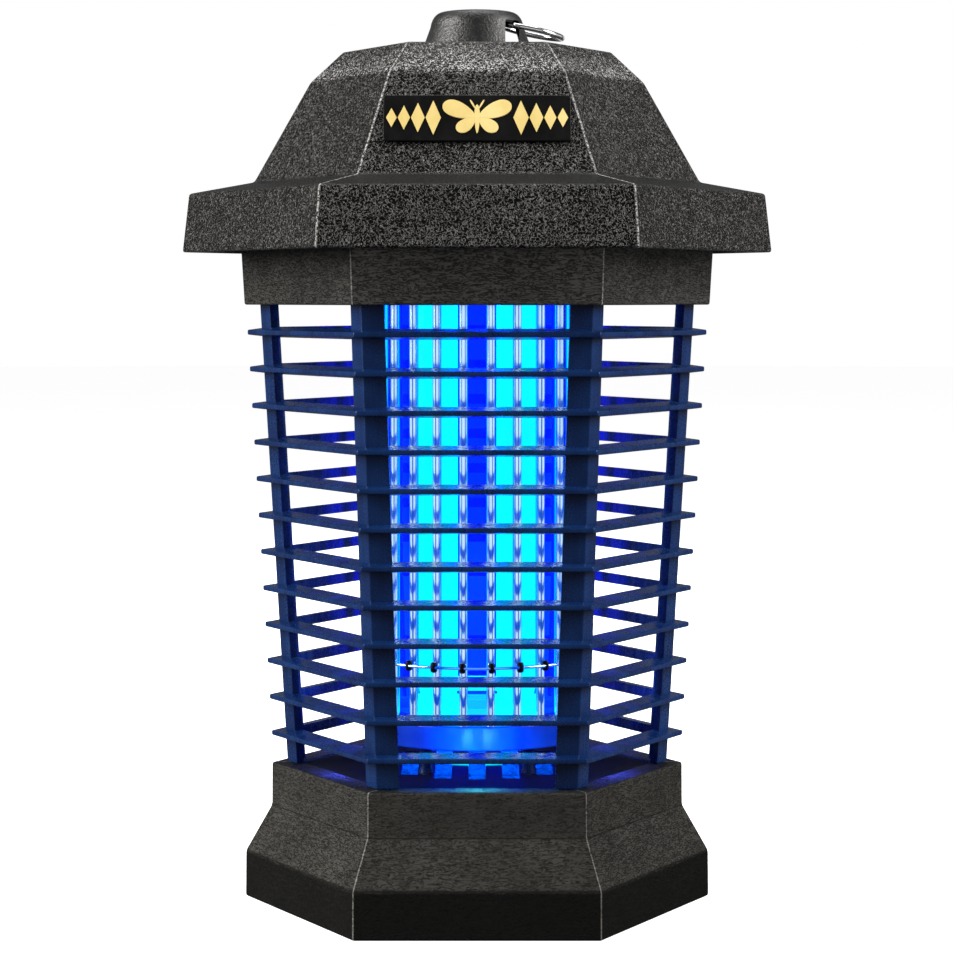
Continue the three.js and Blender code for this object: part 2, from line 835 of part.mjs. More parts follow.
add('collar', collar(), grainedPlastic);
add('roof_shell', roofShell(), roofPlastic);
const roofScrew = screw(
  screwShank, 2 * screwShank, flangeBottom - gap - headHeight, flangeThickness + roofScrewLength - headHeight,
);
roofScrewPlaces().forEach(([x, y], i) => {
  add(`roof_screw_${i + 1}`, roofScrew, screwSteel).position.set(x, y, 0);
});

const plateMount = new THREE.Group();
const slopeTurn = Math.atan2(slopeHeight, (roofFootRadius - kneeRadius) / hexRatio);
const plateFace = onLine(plateRise, [[0, roofFootRadius], [slopeHeight, kneeRadius]]) / hexRatio;
plateMount.position.set(0, -plateFace, roofFoot + plateRise);
plateMount.rotation.x = slopeTurn;
zapper.add(plateMount);
add('name_plate', namePlate(), plateBlack, plateMount).position.z = gap;

const glandMount = new THREE.Group();
glandMount.position.set(0, wallAtGland, glandZ);
glandMount.rotation.x = -Math.PI / 2;
zapper.add(glandMount);
add('cord_gland', cordGland(), knobPlastic, glandMount);
add('gland_nut', glandNut(), knobPlastic, glandMount);

add('top_knob', topKnob(), knobPlastic);
const knobScrewLow = plateau - shellWall - gap - headHeight;
add('knob_screw', screw(knobScrewShank, knobScrewHead, knobScrewLow, knobShoulder), screwSteel);

const ringHinge = new THREE.Group();
ringHinge.position.set(pivotX, 0, pivotZ);
ringHinge.rotation.y = ringTilt;
zapper.add(ringHinge);
add('hanging_ring', wireRing(ringRadius, ringWire, 0, 8, 28), steelWire, ringHinge).position.x = ringReach;

export default zapper;
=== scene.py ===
import json
import math

import bmesh
import bpy
from mathutils import Matrix, Vector


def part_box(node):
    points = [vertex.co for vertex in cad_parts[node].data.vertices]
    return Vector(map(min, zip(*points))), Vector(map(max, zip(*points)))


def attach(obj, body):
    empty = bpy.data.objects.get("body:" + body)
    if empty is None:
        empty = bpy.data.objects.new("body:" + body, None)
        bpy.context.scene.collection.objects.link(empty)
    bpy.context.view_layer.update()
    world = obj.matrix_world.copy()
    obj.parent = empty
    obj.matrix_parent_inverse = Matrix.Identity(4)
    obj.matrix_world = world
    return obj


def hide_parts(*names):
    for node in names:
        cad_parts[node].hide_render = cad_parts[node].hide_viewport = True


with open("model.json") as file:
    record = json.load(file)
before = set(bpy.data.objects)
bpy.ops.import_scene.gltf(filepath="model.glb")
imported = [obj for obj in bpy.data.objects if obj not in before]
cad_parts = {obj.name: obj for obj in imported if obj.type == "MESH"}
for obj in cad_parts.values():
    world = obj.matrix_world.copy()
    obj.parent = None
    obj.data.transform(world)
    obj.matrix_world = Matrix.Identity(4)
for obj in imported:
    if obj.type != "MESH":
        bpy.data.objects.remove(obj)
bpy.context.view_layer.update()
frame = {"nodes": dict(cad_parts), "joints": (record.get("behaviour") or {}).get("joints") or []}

# Lengths are in millimetres in this script and become metres where a mesh is made.
metre = 0.001
gap = 0.3
hexRatio = 1 / math.cos(math.pi / 6)      # corner radius of a hexagon over its flat radius
scene = bpy.context.scene

# Where the object is seen from

camera = dict(x=-0.24, y=-1136.4, z=244.5, pitch=86.354, lens=105.96, sensor=36)

cameraData = bpy.data.cameras.new("viewCamera")
cameraData.lens = camera["lens"]
cameraData.sensor_width = camera["sensor"]
cameraData.clip_start = 0.02
cameraObject = bpy.data.objects.new("viewCamera", cameraData)
cameraObject.location = Vector((camera["x"], camera["y"], camera["z"])) * metre
cameraObject.rotation_euler = (math.radians(camera["pitch"]), 0, 0)
scene.collection.objects.link(cameraObject)
scene.camera = cameraObject
scene.view_settings.view_transform = "Standard"
print("camera ready")


def box(node):
    low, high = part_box(node)
    return low / metre, high / metre


class Link:
    # One output socket, with arithmetic that adds Math nodes
    def __init__(self, paint, socket):
        self.paint, self.socket = paint, socket

    def __add__(self, other):
        return self.paint.maths("ADD", self, other)

    def __sub__(self, other):
        return self.paint.maths("SUBTRACT", self, other)

    def __rsub__(self, other):
        return self.paint.maths("SUBTRACT", other, self)

    def __mul__(self, other):
        return self.paint.maths("MULTIPLY", self, other)

    def __truediv__(self, other):
        return self.paint.maths("DIVIDE", self, other)

    def __rtruediv__(self, other):
        return self.paint.maths("DIVIDE", other, self)

    def __abs__(self):
        return self.paint.maths("ABSOLUTE", self)

    __radd__ = __add__
    __rmul__ = __mul__


class Paint:
    # One material and the few ways this script adds nodes to it
    def __init__(self, name):
        self.material = bpy.data.materials.new(name)
        self.material.use_nodes = True
        self.tree = self.material.node_tree
        self.tree.nodes.clear()

    def node(self, kind, settings=None, sockets=None, out=0):
        made = self.tree.nodes.new("ShaderNode" + kind)
        for key, value in (settings or {}).items():
            setattr(made, key, value)
        for key, value in (sockets or {}).items():
            if isinstance(value, Link):
                self.tree.links.new(value.socket, made.inputs[key])
            else:
                made.inputs[key].default_value = value
        return Link(self, made.outputs[out])

    def maths(self, operation, *values):
        return self.node("Math", {"operation": operation}, dict(enumerate(values)))

    def place(self, stretch=(1, 1, 1)):
        here = self.node("TexCoord", out="Object")
        if stretch == (1, 1, 1):
            return here
        return self.node("VectorMath", {"operation": "MULTIPLY"}, {0: here, 1: stretch})

    def axes(self):
        here = self.node("SeparateXYZ", sockets={0: self.place()})
        return [Link(self, socket) for socket in here.socket.node.outputs]

    def noise(self, size, detail=3, rough=0.55, stretch=(1, 1, 1), warp=0):
        # size is the width of one patch in millimetres
        return self.node(
            "TexNoise", {"noise_dimensions": "3D"},
            {"Vector": self.place(stretch), "Scale": 1 / (size * metre), "Detail": detail,
             "Roughness": rough, "Distortion": warp},
        )

    def between(self, value, low, high, start=0.0, end=1.0):
        return self.node(
            "MapRange", {"interpolation_type": "SMOOTHSTEP"},
            {"Value": value, "From Min": low, "From Max": high, "To Min": start, "To Max": end},
        )

    def mix(self, factor, first, second):
        colours = [c if isinstance(c, Link) else (*c, 1) for c in (first, second)]
        return self.node(
            "Mix", {"data_type": "RGBA"}, {0: factor, 6: colours[0], 7: colours[1]}, out=2,
        )

    def spread(self, ends, factor):
        low, high = ends
        return low + (high - low) * factor

    def bump(self, height, depth):
        return self.node("Bump", sockets={"Height": height, "Distance": depth * metre})

    def close(self, distances, width):
        # 1 where the least distance is 0, 0 from width millimetres away
        nearest = distances[0]
        for distance in distances[1:]:
            nearest = self.maths("MINIMUM", nearest, distance)
        return self.between(nearest, 0, width * metre, 1, 0)

    def corners(self, width):
        # Marks the six corner lines of the hexagons
        x, y = self.axes()[:2]
        s, c = math.sin(math.pi / 3), math.cos(math.pi / 3)
        return self.close([abs(y), abs(x * s - y * c), abs(x * s + y * c)], width)

    def heights(self, width, levels):
        z = self.axes()[2]
        return self.close([abs(z - level * metre) for level in levels], width)

    def surface(self, **sockets):
        named = {key.replace("_", " "): value for key, value in sockets.items()}
        for key, value in named.items():
            if "Color" in key and not isinstance(value, Link):
                named[key] = (*value, 1)
        return self.show(self.node("BsdfPrincipled", sockets=named))

    def show(self, shader):
        output = self.tree.nodes.new("ShaderNodeOutputMaterial")
        self.tree.links.new(shader.socket, output.inputs["Surface"])
        return self.material


def keep(name, mesh):
    piece = bpy.data.objects.new(name, mesh)
    scene.collection.objects.link(piece)
    return piece


def fromBmesh(name, bm):
    bmesh.ops.remove_doubles(bm, verts=bm.verts, dist=1e-7)
    bmesh.ops.recalc_face_normals(bm, faces=bm.faces)
    mesh = bpy.data.meshes.new(name)
    bm.to_mesh(mesh)
    bm.free()
    for face in mesh.polygons:
        face.use_smooth = True
    return keep(name, mesh)


def around(radius, angle):
    return radius * math.cos(angle), radius * math.sin(angle)


def addTurned(bm, profile, steps=64, at=(0, 0, 0)):
    # A closed profile of (radius, height) pairs turned about Z; six steps make a hexagon
    rings = []
    for radius, z in profile:
        count = steps if radius > 1e-6 else 1
        places = [Vector((*around(radius, 2 * math.pi * i / steps), z)) for i in range(count)]
        rings.append([bm.verts.new(place * metre + Vector(at) * metre) for place in places])
    for low, high in zip(rings, rings[1:] + rings[:1]):
        for i in range(steps):
            j = (i + 1) % steps
            corners = [low[i % len(low)], low[j % len(low)], high[j % len(high)], high[i % len(high)]]
            corners = list(dict.fromkeys(corners))
            if len(corners) > 2:
                bm.faces.new(corners)


def cylinder(radius, low, high):
    return [(0, low), (radius, low), (radius, high), (0, high)]


def turn(name, profile, steps=64, at=(0, 0, 0)):
    bm = bmesh.new()
    addTurned(bm, profile, steps, at)
    return fromBmesh(name, bm)


def addHoop(bm, radius, wire, z, steps=96, sides=12, x=0):
    rings = []
    for i in range(steps):
        turnBy = 2 * math.pi * i / steps
        rings.append([
            bm.verts.new(Vector((
                x + (radius + wire * math.cos(side)) * math.cos(turnBy),
                (radius + wire * math.cos(side)) * math.sin(turnBy),
                z + wire * math.sin(side),
            )) * metre)
            for side in (2 * math.pi * k / sides for k in range(sides))
        ])
    for i in range(steps):
        near, far = rings[i], rings[(i + 1) % steps]
        for k in range(sides):
            m = (k + 1) % sides
            bm.faces.new([near[k], far[k], far[m], near[m]])


def addPrism(bm, outline, low, high, shift=(0, 0)):
    # outline of (x, y) pairs; the top may be shifted to make a leaning bar
    below = [bm.verts.new(Vector((x, y, low)) * metre) for x, y in outline]
    above = [bm.verts.new(Vector((x + shift[0], y + shift[1], high)) * metre) for x, y in outline]
    bm.faces.new(list(reversed(below)))
    bm.faces.new(above)
    for i in range(len(outline)):
        j = (i + 1) % len(outline)
        bm.faces.new([below[i], below[j], above[j], above[i]])


def prism(name, outline, low, high, shift=(0, 0)):
    bm = bmesh.new()
    addPrism(bm, outline, low, high, shift)
    return fromBmesh(name, bm)


def rectangle(width, depth, x=0, y=0):
    a, b = width / 2, depth / 2
    return [(x - a, y - b), (x + a, y - b), (x + a, y + b), (x - a, y + b)]


def hexagon(radius):
    return [around(radius, math.pi / 3 * i) for i in range(6)]


def soften(piece, width, segments=3, angle=15):
    bevel = piece.modifiers.new("soften", "BEVEL")
    bevel.width = width * metre
    bevel.segments = segments
    bevel.limit_method = "ANGLE"
    bevel.angle_limit = math.radians(angle)
    bevel.use_clamp_overlap = True
    bevel.miter_outer = "MITER_ARC"
    return piece


def combine(piece, others, operation="DIFFERENCE"):
    for other in others:
        step = piece.modifiers.new("combine", "BOOLEAN")
        step.object = other
        step.operation = operation
        step.solver = "EXACT"
    settle(piece)
    for other in others:
        bpy.data.objects.remove(other)
    return piece


def settle(piece):
    # Turns the modifiers, or a curve, into the piece's own mesh
    bpy.context.view_layer.update()
    graph = bpy.context.evaluated_depsgraph_get()
    mesh = bpy.data.meshes.new_from_object(piece.evaluated_get(graph))
    if piece.type == "MESH":
        piece.modifiers.clear()
        piece.data = mesh
        return piece
    name = piece.name
    bpy.data.objects.remove(piece)
    return keep(name, mesh)


def shade(piece, angle=35):
    # Flat faces stay flat next to their rounded edges
    settle(piece)
    for face in piece.data.polygons:
        face.use_smooth = True
    piece.data.set_sharp_from_angle(angle=math.radians(angle))
    weight = piece.modifiers.new("weight", "WEIGHTED_NORMAL")
    weight.keep_sharp = True
    return settle(piece)


def plate(name, outlines, thickness, bevel, low=0.0, resolution=2):
    # Flat plate with holes from closed outlines, its edges rounded
    curve = bpy.data.curves.new(name, "CURVE")
    curve.dimensions = "2D"
    curve.fill_mode = "BOTH"
    curve.extrude = (thickness / 2 - bevel) * metre
    curve.bevel_depth = bevel * metre
    curve.bevel_resolution = resolution
    curve.offset = -bevel * metre
    for outline in outlines:
        spline = curve.splines.new("POLY")
        spline.points.add(len(outline) - 1)
        for point, (x, y) in zip(spline.points, outline):
            point.co = (x * metre, y * metre, 0, 1)
        spline.use_cyclic_u = True
    piece = bpy.data.objects.new(name + "Curve", curve)
    scene.collection.objects.link(piece)
    made = settle(piece)
    made.name = name
    made.data.transform(Matrix.Translation((0, 0, (low + thickness / 2) * metre)))
    bm = bmesh.new()
    bm.from_mesh(made.data)
    bmesh.ops.remove_doubles(bm, verts=bm.verts, dist=1e-6)
    bmesh.ops.recalc_face_normals(bm, faces=bm.faces)
    bm.to_mesh(made.data)
    bm.free()
    return made


def innerSkin(outline, wall):
    # The inside of a hexagonal outline, a wall thickness in from each face
    flat = [Vector((radius / hexRatio, z)) for radius, z in outline]
    inward = []
    for a, b in zip(flat, flat[1:]):
        along = (b - a).normalized()
        inward.append(Vector((-along.y, along.x)))
    skin = []
    for i, point in enumerate(flat):
        closed = outline[i][0] > 0
        before = inward[i - 1] if i else Vector((-1, 0))
        after = inward[i] if i < len(inward) else Vector((-1, 0) if closed else (0, -1))
        step = (before + after) * (wall / (1 + before.dot(after)))
        skin.append(((point.x + step.x) * hexRatio, point.y + step.y))
    return skin


def put(piece, material, body, slotName, *nodes):
    piece.data.materials.clear()
    piece.data.materials.append(material)
    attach(piece, body)
    if nodes:
        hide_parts(*nodes)
    return piece


leather = dict(
    worm=1.05, fine=0.4, cloud=22, ridge=0.085, depth=0.40, relief=0.25, rough=(0.26, 0.42), gloss=0.16,
    # The darkest colour is painted shade, in the grain's creases, on the shoulder and along the corners; the
    # palest is painted highlight on the ridge tops
    paintedShade=(0.002, 0.0019, 0.0018), skin=(0.086, 0.083, 0.078), tip=(0.78, 0.77, 0.76),
    # Corner lines: a pale broken one, partly edge wear and partly painted highlight, and a dark one of
    # painted shade
    wearAndHighlight=(0.62, 0.61, 0.59), edgeLineWidth=0.8, cornerShadeWidth=1.68, cornerShade=0.85, breakup=0.8,
    # How strongly the shoulder is darkened by painted shade, and the crown band of painted highlight
    shadedShoulder=0.88, shoulderEdge=0.6, crownEdge=1, crownFade=(2, 12), crownRest=0.3, tips=0.22,
)


def leatherFinish(name, values, shoulder, crown):
    # Winding ridges, their grooves darkened by painted shade and their tops lightened by painted highlights,
    # as on coarse moulded leather grain:
    # smoother grain and painted shade between the two shoulder heights, a band of painted highlight just over
    # the crown height
    paint = Paint(name)
    worm = paint.noise(values["worm"], 1, 0.4, warp=0.5)
    small = paint.noise(values["fine"], 2, 0.6)
    cloud = 0.5 + paint.noise(values["cloud"], 3, 0.5)
    height = paint.axes()[2] / metre
    low, high = shoulder
    edge, crownEdge, fade = values["shoulderEdge"], values["crownEdge"], values["crownFade"]
    # Between the shoulder heights the grain is smoother and darkened by painted shade
    shadedShoulder = paint.between(height, low - edge, low + edge) * paint.between(
        height, high - edge, high + edge, 1, 0)
    # A band of painted highlight just over the crown height, fading further up
    crownGlint = paint.between(height, crown - crownEdge, crown + crownEdge) * paint.between(
        height, crown + fade[0], crown + fade[1], 1, values["crownRest"])
    skin = paint.between(abs(worm - 0.5), 0.0, values["ridge"], 1, 0)
    # Ridge tops lightened by painted highlight, fully in the crown band and less elsewhere
    tips = skin * paint.between(small + 0.08 * crownGlint, 0.44, 0.6) * cloud
    # Creases darkened by painted shade, more strongly in the crown band
    colour = paint.mix(skin * cloud * (1 - 0.75 * crownGlint), values["paintedShade"], values["skin"])
    colour = paint.mix(tips * paint.spread((values["tips"], 1), crownGlint), colour, values["tip"])
    # Painted shade over the shoulder
    colour = paint.mix(shadedShoulder * values["shadedShoulder"], colour, values["paintedShade"])
    # A dark line of painted shade along each corner
    colour = paint.mix(paint.corners(values["cornerShadeWidth"]) * values["cornerShade"], colour, values["paintedShade"])
    # A pale broken line along each corner: partly edge wear, partly painted highlight
    broken = paint.between(paint.noise(values["breakup"], 3, 0.7), 0.42, 0.56)
    colour = paint.mix(paint.corners(values["edgeLineWidth"]) * broken, colour, values["wearAndHighlight"])
    rough = paint.spread(values["rough"], paint.between(small, 0.3, 0.7))
    bump = paint.bump(skin * (1 - 0.75 * shadedShoulder) + small * values["relief"], values["depth"])
    return paint.surface(
        Base_Color=colour, Roughness=rough, Normal=bump, Specular_IOR_Level=values["gloss"],
    )


grained = dict(
    wrinkle=1.5, fine=0.35, cloud=18, ridge=0.075, depth=0.34, relief=0.3, rough=(0.38, 0.6), gloss=0.09,
    low=(0.006, 0.0055, 0.005), high=(0.050, 0.048, 0.043), stretch=(0.5, 0.5, 1.9),
    # Corner lines: a pale broken one, partly edge wear and partly painted highlight, and a dark one of
    # painted shade
    wearAndHighlight=(0.23, 0.225, 0.21), edgeLineWidth=0.48, cornerShadeWidth=0.96, cornerShade=0.6, breakup=1.6,
    # Strength of the dark lines of painted shade at the fold heights, and the colour of the darker foot
    foldShade=0.8, foot=(0.001, 0.001, 0.001),
)


def grainedFinish(name, values, shadedFolds, footTop=None):
    # Moulded grain drawn out into wrinkles, their creases darkened by painted shade; the third argument gives
    # heights of dark lines of painted shade, footTop ends a darker foot
    paint = Paint(name)
    wrinkles = paint.noise(values["wrinkle"], 1.5, 0.5, values["stretch"], 0.8)
    fine = paint.noise(values["fine"], 3, 0.6)
    cloud = 0.25 + paint.noise(values["cloud"], 3, 0.55)
    # Low where the wrinkles crease: painted shade there
    ridges = 0.1 + 0.9 * paint.between(abs(wrinkles - 0.5), 0.0, values["ridge"])
    colour = paint.mix(ridges * cloud, values["low"], values["high"])
    rough = paint.spread(values["rough"], paint.between(fine, 0.3, 0.7))
    if footTop:
        height = paint.axes()[2] / metre + wrinkles * 1.5
        below = paint.between(height, footTop - 0.5, footTop + 2, 0.9, 0.0)
        colour = paint.mix(below, colour, values["foot"])
        rough = rough + below * 0.35
    # Dark lines of painted shade at the fold heights
    colour = paint.mix(paint.heights(values["edgeLineWidth"], shadedFolds) * values["foldShade"], colour, values["low"])
    # A dark line of painted shade along each corner
    colour = paint.mix(paint.corners(values["cornerShadeWidth"]) * values["cornerShade"], colour, values["low"])
    # A pale broken line along each corner: partly edge wear, partly painted highlight
    broken = paint.between(paint.noise(values["breakup"], 4, 0.7), 0.3, 0.5)
    colour = paint.mix(paint.corners(values["edgeLineWidth"]) * broken * 0.85, colour, values["wearAndHighlight"])
    bump = paint.bump(ridges + fine * values["relief"], values["depth"])
    return paint.surface(
        Base_Color=colour, Roughness=rough, Normal=bump, Specular_IOR_Level=values["gloss"],
    )


def mouldedFinish(name, low, high, rough, wearAndHighlight=None, fine=0.7, depth=0.03, spec=0.45, glow=None):
    # Smooth moulding: slight colour and gloss changes, fine grain, paler at worn spots
    paint = Paint(name)
    wide = paint.noise(14, 3, 0.5)
    grain = paint.noise(fine, 3, 0.6)
    streak = paint.noise(6, 4, 0.6, (1, 1, 0.12), 0.3)
    colour = paint.mix(paint.between(wide * 0.7 + streak * 0.3, 0.35, 0.65), low, high)
    # Here the pale spots are wear only
    if wearAndHighlight:
        spots = paint.between(paint.noise(3.2, 5, 0.7), 0.62, 0.72)
        colour = paint.mix(spots * 0.35, colour, wearAndHighlight)
    roughness = paint.spread(rough, paint.between(streak * 0.5 + grain * 0.5, 0.35, 0.65))
    lit = {}
    # glow paints light into the surface as emission, on parts that are no lamp
    if glow:
        lit = dict(Emission_Color=paint.mix(paint.between(wide, 0.35, 0.65), *glow), Emission_Strength=1.0)
    return paint.surface(
        Base_Color=colour, Roughness=roughness, Normal=paint.bump(grain, depth),
        Specular_IOR_Level=spec, **lit,
    )


def metalFinish(name, low, high, rough, stretch=(1, 1, 1), depth=0.012, size=0.5, glow=None):
    # Drawn or plated steel with lines along its length; glow, where given, is painted light
    paint = Paint(name)
    lines = paint.noise(size, 4, 0.6, stretch)
    wide = paint.noise(9, 3, 0.5)
    colour = paint.mix(paint.between(wide * 0.6 + lines * 0.4, 0.35, 0.65), low, high)
    roughness = paint.spread(rough, paint.between(lines, 0.35, 0.65))
    lit = dict(Emission_Color=paint.mix(wide, *glow), Emission_Strength=1.0) if glow else {}
    return paint.surface(
        Base_Color=colour, Metallic=1.0, Roughness=roughness, Normal=paint.bump(lines, depth), **lit,
    )


plastics = dict(
    cageNavy=dict(low=(0.003, 0.016, 0.075), high=(0.005, 0.027, 0.112), rough=(0.24, 0.30), depth=0.002,
                  spec=0.3),
    trayBlack=dict(low=(0.010, 0.010, 0.012), high=(0.018, 0.018, 0.021), rough=(0.42, 0.6), depth=0.05),
    # The drum's glow is painted light: it glows blue as if lit by the lamp
    drumBlue=dict(low=(0.001, 0.014, 0.20), high=(0.002, 0.03, 0.30), rough=(0.16, 0.26), depth=0.01,
                  spec=0.35, glow=((0.0, 0.012, 0.24), (0.0, 0.018, 0.29))),
    holderWhite=dict(low=(0.62, 0.62, 0.58), high=(0.74, 0.74, 0.70), rough=(0.4, 0.55)),
    knobBlack=dict(low=(0.006, 0.006, 0.006), high=(0.014, 0.014, 0.014), rough=(0.26, 0.36), depth=0.36,
                   fine=0.9, wearAndHighlight=(0.08, 0.08, 0.08), spec=0.6),
    plateBlack=dict(low=(0.002, 0.002, 0.002), high=(0.004, 0.004, 0.004), rough=(0.3, 0.42), depth=0.02,
                    spec=0.2),
    # The gold's faint glow is painted light, brightening it
    plateGold=dict(low=(0.68, 0.52, 0.18), high=(0.78, 0.61, 0.25), rough=(0.35, 0.5),
                   glow=((0.05, 0.04, 0.01), (0.06, 0.05, 0.015))),
    boardGreen=dict(low=(0.02, 0.12, 0.05), high=(0.04, 0.20, 0.09), rough=(0.3, 0.45)),
    windingTape=dict(low=(0.20, 0.10, 0.04), high=(0.32, 0.17, 0.07), rough=(0.4, 0.55), depth=0.06),
    canSleeve=dict(low=(0.02, 0.06, 0.22), high=(0.04, 0.10, 0.36), rough=(0.25, 0.4), depth=0.02),
)
metals = dict(
    # The rods' glow is painted blue light, as if from the lamp
    gridSteel=dict(low=(0.56, 0.80, 0.92), high=(0.64, 0.88, 0.98), rough=(0.09, 0.13), stretch=(1, 1, 0.06),
                   depth=0.0008, size=1.5, glow=((0.0, 0.05, 0.26), (0.0, 0.08, 0.36))),
    ringSteel=dict(low=(0.55, 0.56, 0.58), high=(0.72, 0.73, 0.75), rough=(0.10, 0.2), depth=0.008),
    screwZinc=dict(low=(0.40, 0.41, 0.43), high=(0.58, 0.59, 0.60), rough=(0.28, 0.42), depth=0.02),
)
paints = {name: mouldedFinish(name, **values) for name, values in plastics.items()}
paints.update({name: metalFinish(name, **values) for name, values in metals.items()})

lampLook = dict(base=(0.02, 0.3, 0.35), glow=((0.20, 7.0, 1.0), (0.22, 7.8, 1.1)), rough=(0.15, 0.23))


def lampFinish(values):
    # Lit glass: brightness drifts a little along the tube
    paint = Paint("lampGlow")
    wide = paint.noise(26, 2, 0.5)
    grain = paint.noise(1.2, 3, 0.6)
    return paint.surface(
        Base_Color=values["base"], Roughness=paint.spread(values["rough"], paint.between(grain, 0.35, 0.65)),
        Emission_Color=paint.mix(paint.between(wide, 0.3, 0.7), *values["glow"]), Emission_Strength=1.0,
        Normal=paint.bump(grain, 0.01),
    )


deckLook = dict(low=(0.004, 0.005, 0.012), high=(0.008, 0.010, 0.020), rough=(0.55, 0.75), spec=0.1,
                spill=(0.0, 0.85, 0.95), spillFrom=6, spillTo=10, spillStretch=2)


def deckFinish(values):
    # Black moulding with a painted pool of light along the line of the two tubes
    paint = Paint("deckBlack")
    x, y = paint.axes()[:2]
    along = x / values["spillStretch"]
    reach = paint.maths("SQRT", along * along + y * y) / metre
    grain = paint.noise(0.7, 3, 0.6)
    spill = paint.between(reach + grain, values["spillFrom"], values["spillTo"], 1, 0)
    return paint.surface(
        Base_Color=paint.mix(paint.noise(14, 3, 0.5), values["low"], values["high"]),
        Roughness=paint.spread(values["rough"], grain), Normal=paint.bump(grain, 0.03),
        Specular_IOR_Level=values["spec"],
        Emission_Color=paint.mix(spill, (0, 0, 0), values["spill"]), Emission_Strength=1.0,
    )


cradleGlow = dict(base=((0.02, 0.3, 0.5), (0.026, 0.39, 0.65)), cups=(0.2, 7.0, 1.0), block=(0.3, 3.0, 1.1),
                  lugs=(0.005, 0.05, 0.6), blockHalf=6.5, cupsHalf=25.1, edge=0.4, rough=(0.2, 0.3))


def cradleFinish(values):
    # Painted light: the cups round the tubes glow brightest, the block between them less and the outer lugs
    # least, as if lit by the tubes
    paint = Paint("cradleGlow")
    across = abs(paint.axes()[0]) / metre
    edge = values["edge"]
    cups = paint.between(across, values["blockHalf"] - edge, values["blockHalf"] + edge)
    lugs = paint.between(across, values["cupsHalf"] - edge, values["cupsHalf"] + edge)
    grain = paint.noise(1.5, 3, 0.6)
    colour = paint.mix(cups, values["block"], values["cups"])
    colour = paint.mix(lugs, colour, values["lugs"])
    return paint.surface(
        Base_Color=paint.mix(grain, *values["base"]), Roughness=paint.spread(values["rough"], grain),
        Emission_Color=colour, Emission_Strength=1.0, Normal=paint.bump(grain, 0.02),
    )


sleeve = dict(tint=(0.15, 0.42, 0.97), gloss=((0.01, 0.06, 0.6), (0.016, 0.096, 0.96)),
              glow=(0.0, 0.012, 0.22), share=0.12, rough=(0.08, 0.18))


def sleeveFinish(values):
    # Clear blue film with a glossy share and a faint painted blue glow, as if lit by the tubes inside
    paint = Paint("sleevePlastic")
    clear = paint.node("BsdfTransparent", sockets={"Color": (*values["tint"], 1)})
    grain = paint.noise(2.0, 3, 0.5, (1, 1, 0.1))
    gloss = paint.node("BsdfPrincipled", sockets={
        "Base Color": paint.mix(grain, *values["gloss"]),
        "Roughness": paint.spread(values["rough"], grain), "Normal": paint.bump(grain, 0.01),
        "Emission Color": (*values["glow"], 1), "Emission Strength": 1.0,
    })
    film = paint.node("MixShader", sockets={0: values["share"], 1: clear, 2: gloss})
    return paint.show(film)


print("finishes ready")

baseBox, collarBox, roofBox = box("base_shell"), box("collar"), box("roof_shell")
rimTop = baseBox[1].z
collarBottom = collarBox[0].z
brimBottom = roofBox[0].z
plateau = roofBox[1].z

# Base: foot, flare, neck and rim in one moulding

base = dict(neckRadius=83.9, draft=0.2, skirt=19, flare=18.8, wall=3, rim=11, ledge=2.6, ledgeThick=2.4,
            foot=2.6, edge=1.0)

neckRadius = base["neckRadius"]
openingRadius = neckRadius - base["rim"] * hexRatio
skirtTop, neckBottom = base["skirt"], base["skirt"] + base["flare"]
deckLow, deckHigh = box("deck_grille")
ledgeTop = deckLow.z - gap
# Dark lines of painted shade at the rim top, the skirt top and the neck bottom
basePaint = grainedFinish("baseGrain", grained, (rimTop, skirtTop, neckBottom), skirtTop)


def makeBase():
    outline = [
        (baseBox[1].x, 0), (baseBox[1].x - base["draft"], skirtTop),
        (neckRadius + base["draft"], neckBottom), (neckRadius, rimTop),
    ]
    inner = innerSkin(outline, base["wall"])[::-1]
    ledgeRadius = openingRadius - base["ledge"] * hexRatio
    ledgeBottom = ledgeTop - base["ledgeThick"]
    footOpening = neckRadius - base["wall"] * hexRatio
    profile = outline + [
        (openingRadius, rimTop), (openingRadius, ledgeTop), (ledgeRadius, ledgeTop),
        (ledgeRadius, ledgeBottom), (inner[0][0], ledgeBottom), *inner[1:3],
        (inner[3][0], base["foot"]), (footOpening, base["foot"]), (footOpening, 0),
    ]
    return soften(turn("baseShell", profile, 6), base["edge"])


put(shade(makeBase()), basePaint, "housing", "base_plastic", "base_shell")

# Deck with its slots

deck = dict(slots=5, slotWidth=6.8, pitch=13.6, circle=40, edge=0.4, corner=1.2)
slotCentres = [(i - (deck["slots"] - 1) / 2) * deck["pitch"] for i in range(deck["slots"])]


def roundedRectangle(width, depth, corner, x=0, y=0, steps=5):
    a, b = width / 2 - corner, depth / 2 - corner
    points = []
    for cx, cy, start in ((a, b, 0), (-a, b, 90), (-a, -b, 180), (a, -b, 270)):
        for k in range(steps + 1):
            dx, dy = around(corner, math.radians(start + 90 * k / steps))
            points.append((x + cx + dx, y + cy + dy))
    return points


def makeDeck():
    outlines = [hexagon(openingRadius - gap * hexRatio)]
    for x in slotCentres:
        reach = math.sqrt(deck["circle"] ** 2 - x * x)
        outlines.append(roundedRectangle(deck["slotWidth"], 2 * reach, deck["corner"], x))
    return plate("deckGrille", outlines, deckHigh.z - deckLow.z, deck["edge"], deckLow.z)


put(shade(makeDeck()), deckFinish(deckLook), "housing", "deck_plastic", "deck_grille")

# Catch tray, with two finger pockets underneath

tray = dict(wall=2, floor=2.5, pocketDepth=9, pocketWidth=14, pocketLength=24, pocketCorner=3.5, web=8,
            skin=3, moundCorner=4, edge=0.7)
trayLow, trayHigh = box("catch_tray")


